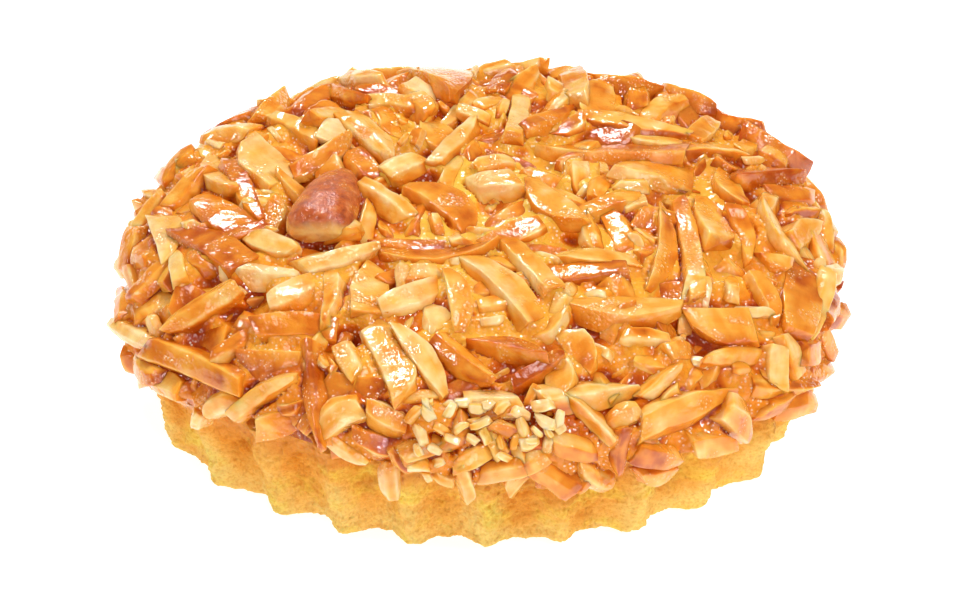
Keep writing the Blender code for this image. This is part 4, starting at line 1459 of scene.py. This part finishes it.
def almond_material(name, skinned):
    """Toasted almond under a clear sugar glaze, with or without its brown skin."""
    shading = Shading(name)
    lying = shading.attribute("lying", "Vector")
    place = shading.place()
    along = shading.node("ShaderNodeVectorMath", {0: lying, 1: FIBRE_STRETCH}, operation="MULTIPLY")
    fibres = shading.ramp(shading.grain(along.outputs[0], FIBRE_WAVES, 4.0), FIBRE_TINTS)
    colour = shading.mix(1.0, shading.attribute("tint", "Color"), fibres, "MULTIPLY")
    glaze = shading.ramp(shading.grain(place, GLAZE_WAVES, 4.0), GLAZE_PATCHES)
    colour = shading.mix(glaze, colour, GLAZE_COLOUR)
    if skinned:
        skin = shading.attribute("skin", "Fac")
        colour = shading.mix(skin, colour, shading.ramp(shading.grain(lying, SKIN_WAVES, 5.0), SKIN_TINTS))
    bubbles = shading.bubbles(place, ALMOND_BUBBLES)
    patch = shading.ramp(shading.grain(place, ALMOND_FROTH_WAVES, 2.0), ALMOND_FROTH)
    colour = shading.mix(shading.times(patch, FROTH_STAIN), colour, FROTH_COLOUR)
    # Painted highlights: pale glints on the bubbles in the froth patches.
    colour = shading.mix(shading.times(shading.ramp(bubbles, ALMOND_PAINTED_GLINTS), patch), colour, PAINTED_GLINT_COLOUR)
    domes = shading.times(shading.times(bubbles, bubbles), patch)
    fine = shading.grain(place, ALMOND_FINE_WAVES, 3.0)
    under_glaze = shading.times(domes, BUBBLES_UNDER_GLAZE, fine)
    on_glaze = shading.times(domes, BUBBLES_ON_GLAZE, fine)
    if skinned:
        wrinkles = shading.times(shading.grain(lying, SKIN_WRINKLE_WAVES, 4.0), skin)
        under_glaze = shading.times(wrinkles, WRINKLES_UNDER_GLAZE, under_glaze)
        on_glaze = shading.times(wrinkles, WRINKLES_ON_GLAZE, on_glaze)
    return shading.finish({
        "Base Color": colour,
        "Normal": shading.bump(under_glaze, ALMOND_BUMP),
        "Coat Normal": shading.bump(on_glaze, ALMOND_COAT_BUMP),
        "Roughness": 0.6,
        "Specular IOR Level": 0.0,
        "Subsurface Weight": 0.75,
        "Subsurface Radius": (0.8, 0.65, 0.35),
        "Subsurface Scale": 0.001,
        "Coat Weight": 1.0,
        "Coat Roughness": 0.04,
        "Coat IOR": 1.6,
        "Coat Tint": (1.0, 0.84, 0.60, 1.0),
    })


def caramel_material():
    """Glossy caramel with sugar bubbles: honey-coloured high between the almonds and darker the deeper it
    lies under the heap's smoothed top, partly as thicker caramel and partly as painted shade; with painted
    glints.
    """
    shading = Shading("caramel")
    parts = shading.parts("tint")
    place = shading.place()
    # Painted shade: the deeper the caramel lies under the heap's smoothed top, the darker, partly as thicker
    # caramel.
    deep = shading.ranged(parts["X"], 0.0, CARAMEL_THICK_AND_SHADED_DEPTH)
    shade = shading.times(parts["Y"], CARAMEL_RIM_SHADE, deep)
    shade = shading.times(shading.grain(place, CARAMEL_WAVES, 4.0), CARAMEL_NOISE_SHADE, shade)
    colour = shading.ramp(shade, CARAMEL_TINTS)
    bubbles = shading.bubbles(place, CARAMEL_BUBBLES)
    patch = shading.ramp(shading.grain(place, CARAMEL_FROTH_WAVES, 2.0), CARAMEL_FROTH)
    # Painted highlights: pale glints on the bubbles in the froth patches.
    colour = shading.mix(shading.times(shading.ramp(bubbles, CARAMEL_PAINTED_GLINTS), patch), colour, PAINTED_GLINT_COLOUR)
    fine = shading.grain(place, CARAMEL_FINE_WAVES, 3.0)
    relief = shading.times(shading.times(bubbles, bubbles), BUBBLES_ON_CARAMEL, fine)
    return shading.finish({
        "Base Color": colour,
        "Normal": shading.bump(relief, CARAMEL_BUMP),
        "Coat Normal": shading.bump(shading.times(relief, patch), CARAMEL_COAT_BUMP),
        "Roughness": 0.6,
        "Specular IOR Level": 0.0,
        "Subsurface Weight": 0.4,
        "Subsurface Radius": (0.9, 0.6, 0.3),
        "Subsurface Scale": 0.0008,
        "Coat Weight": 1.0,
        "Coat Roughness": 0.05,
    })


def crust_material():
    """Baked shortcrust, golden at the foot and orange-brown at the rim. Painted shade leaves the flutes
    darker than the ridges.
    """
    shading = Shading("shortcrust")
    parts = shading.parts("tint")
    place = shading.place()
    baked = shading.times(parts["Y"], BAKED_UPWARDS, shading.grain(place, BAKED_WAVES, 5.0))
    # Painted shade: the flutes darker than the ridges.
    colour = shading.ramp(shading.times(parts["X"], PAINTED_FLUTE_SHADE, baked), CRUST_TINTS)
    buttery = shading.ramp(shading.grain(place, BUTTER_WAVES, 3.0, pattern=3.0), BUTTER_PATCHES)
    colour = shading.mix(buttery, colour, BUTTER_COLOUR)
    grains = shading.ramp(shading.grain(place, GRAIN_OF_CRUST_WAVES, 3.0), CRUST_GRAIN)
    colour = shading.mix(1.0, colour, grains, "MULTIPLY")
    smear = shading.grain(place, SOAKED_WAVES, 6.0, pattern=1.0)
    smear = shading.times(parts["Y"], SOAKED_UPWARDS, smear)
    soaked = shading.ranged(smear, SOAKED_FROM, SOAKED_TO, SOAKED_MOST)
    coarse = shading.grain(place, CRUST_COARSE_WAVES, 5.0, roughness=0.6)
    return shading.finish({
        "Base Color": shading.mix(soaked, colour, SOAKED_COLOUR),
        "Normal": shading.bump(coarse, CRUST_BUMP, COARSE_BUMP),
        "Coat Weight": shading.times(soaked, 0.45),
        "Coat Roughness": 0.08,
        "Roughness": 0.7,
        "Specular IOR Level": 0.1,
        "Subsurface Weight": 0.2,
        "Subsurface Radius": (1.0, 0.6, 0.2),
        "Subsurface Scale": 0.001,
    })


def floor_material():
    """White paper that glows a little, so that shadows on it stay pale."""
    return Shading("floor_white").finish({
        "Base Color": FLOOR_COLOUR,
        "Roughness": 0.9,
        "Emission Color": (1.0, 1.0, 1.0, 1.0),
        "Emission Strength": FLOOR_GLOW,
    })


def make_camera():
    """The camera of the photograph, in front of the tart."""
    data = bpy.data.cameras.new("camera")
    data.lens = CAMERA_LENS
    data.sensor_width = 36.0
    camera = bpy.data.objects.new("camera", data)
    rise = math.radians(CAMERA_ELEVATION)
    back = Vector((0, -math.cos(rise), math.sin(rise)))
    camera.location = Vector((0, 0, CAMERA_AIM_HEIGHT)) + back * CAMERA_DISTANCE
    camera.rotation_euler = (math.radians(90 - CAMERA_ELEVATION), 0, 0)
    bpy.context.scene.collection.objects.link(camera)
    bpy.context.scene.camera = camera


def area_light(name, azimuth, elevation, distance, size, power):
    """A square soft light that faces the tart. Azimuth 0 is behind the viewer."""
    data = bpy.data.lights.new(name, "AREA")
    data.size = size
    data.energy = power
    lamp = bpy.data.objects.new(name, data)
    turn, rise = math.radians(azimuth), math.radians(elevation)
    way = Vector((-math.sin(turn) * math.cos(rise), -math.cos(turn) * math.cos(rise), math.sin(rise)))
    lamp.location = way * distance
    lamp.rotation_euler = way.to_track_quat("Z", "Y").to_euler()
    bpy.context.scene.collection.objects.link(lamp)


def make_light():
    """A pale world and the lamps."""
    world = bpy.data.worlds.new("studio")
    world.use_nodes = True
    world.node_tree.nodes["Background"].inputs["Color"].default_value = (1.0, 1.0, 1.0, 1.0)
    world.node_tree.nodes["Background"].inputs["Strength"].default_value = WORLD_STRENGTH
    bpy.context.scene.world = world
    for name, azimuth, elevation, distance, size, power in LIGHTS:
        area_light(name, azimuth, elevation, distance, size, power)
    bpy.context.scene.view_settings.view_transform = "Standard"


def make_floor():
    """The paper that the tart stands on, a hair under it."""
    bpy.ops.mesh.primitive_plane_add(size=6.0, location=(0, 0, -0.0002))
    floor = bpy.context.object
    floor.name = "floor"
    floor.data.materials.append(floor_material())


def add_pieces(rng):
    """The almonds, joined into one mesh for each form."""
    ground = Ground()
    placed = heap_of_almonds(ground, rng)
    ground.even = blurred(np.maximum(ground.height, LOWEST_GROUND), TOP_BLUR)
    meshings = {name: Meshing() for name in dict.fromkeys(PIECE_NAMES.values())}
    for one in placed:
        meshing = meshings[PIECE_NAMES[one.piece.form]]
        if one.piece.form == "half":
            add_half_almond(meshing, one)
        else:
            add_piece(meshing, ground, one, rng)
    ground.top, ground.glaze = glaze_heights(ground, meshings.values(), rng)
    for meshing in meshings.values():
        meshing.tints = [wetted(ground, tones, spots) for tones, spots in zip(meshing.tints, meshing.spots)]
    return ground, [meshing.build(name) for name, meshing in meshings.items()]


def main():
    """Builds the scene."""
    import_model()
    make_camera()
    make_light()
    make_floor()
    noise.seed_set(SEED)
    rng = np.random.default_rng(SEED)
    ground, almonds = add_pieces(rng)
    bed = make_caramel(ground)
    crust = make_crust()
    glazed = almond_material("glazed_almond", skinned=False)
    skinned = almond_material("skinned_almond", skinned=True)
    for piece in almonds:
        piece.data.materials.append(skinned if piece.name == "skinned_almond" else glazed)
        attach(piece, "root")
    bed.data.materials.append(caramel_material())
    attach(bed, "root")
    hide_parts("almond_topping")
    crust.data.materials.append(crust_material())
    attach(crust, "root")
    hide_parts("crust")


main()
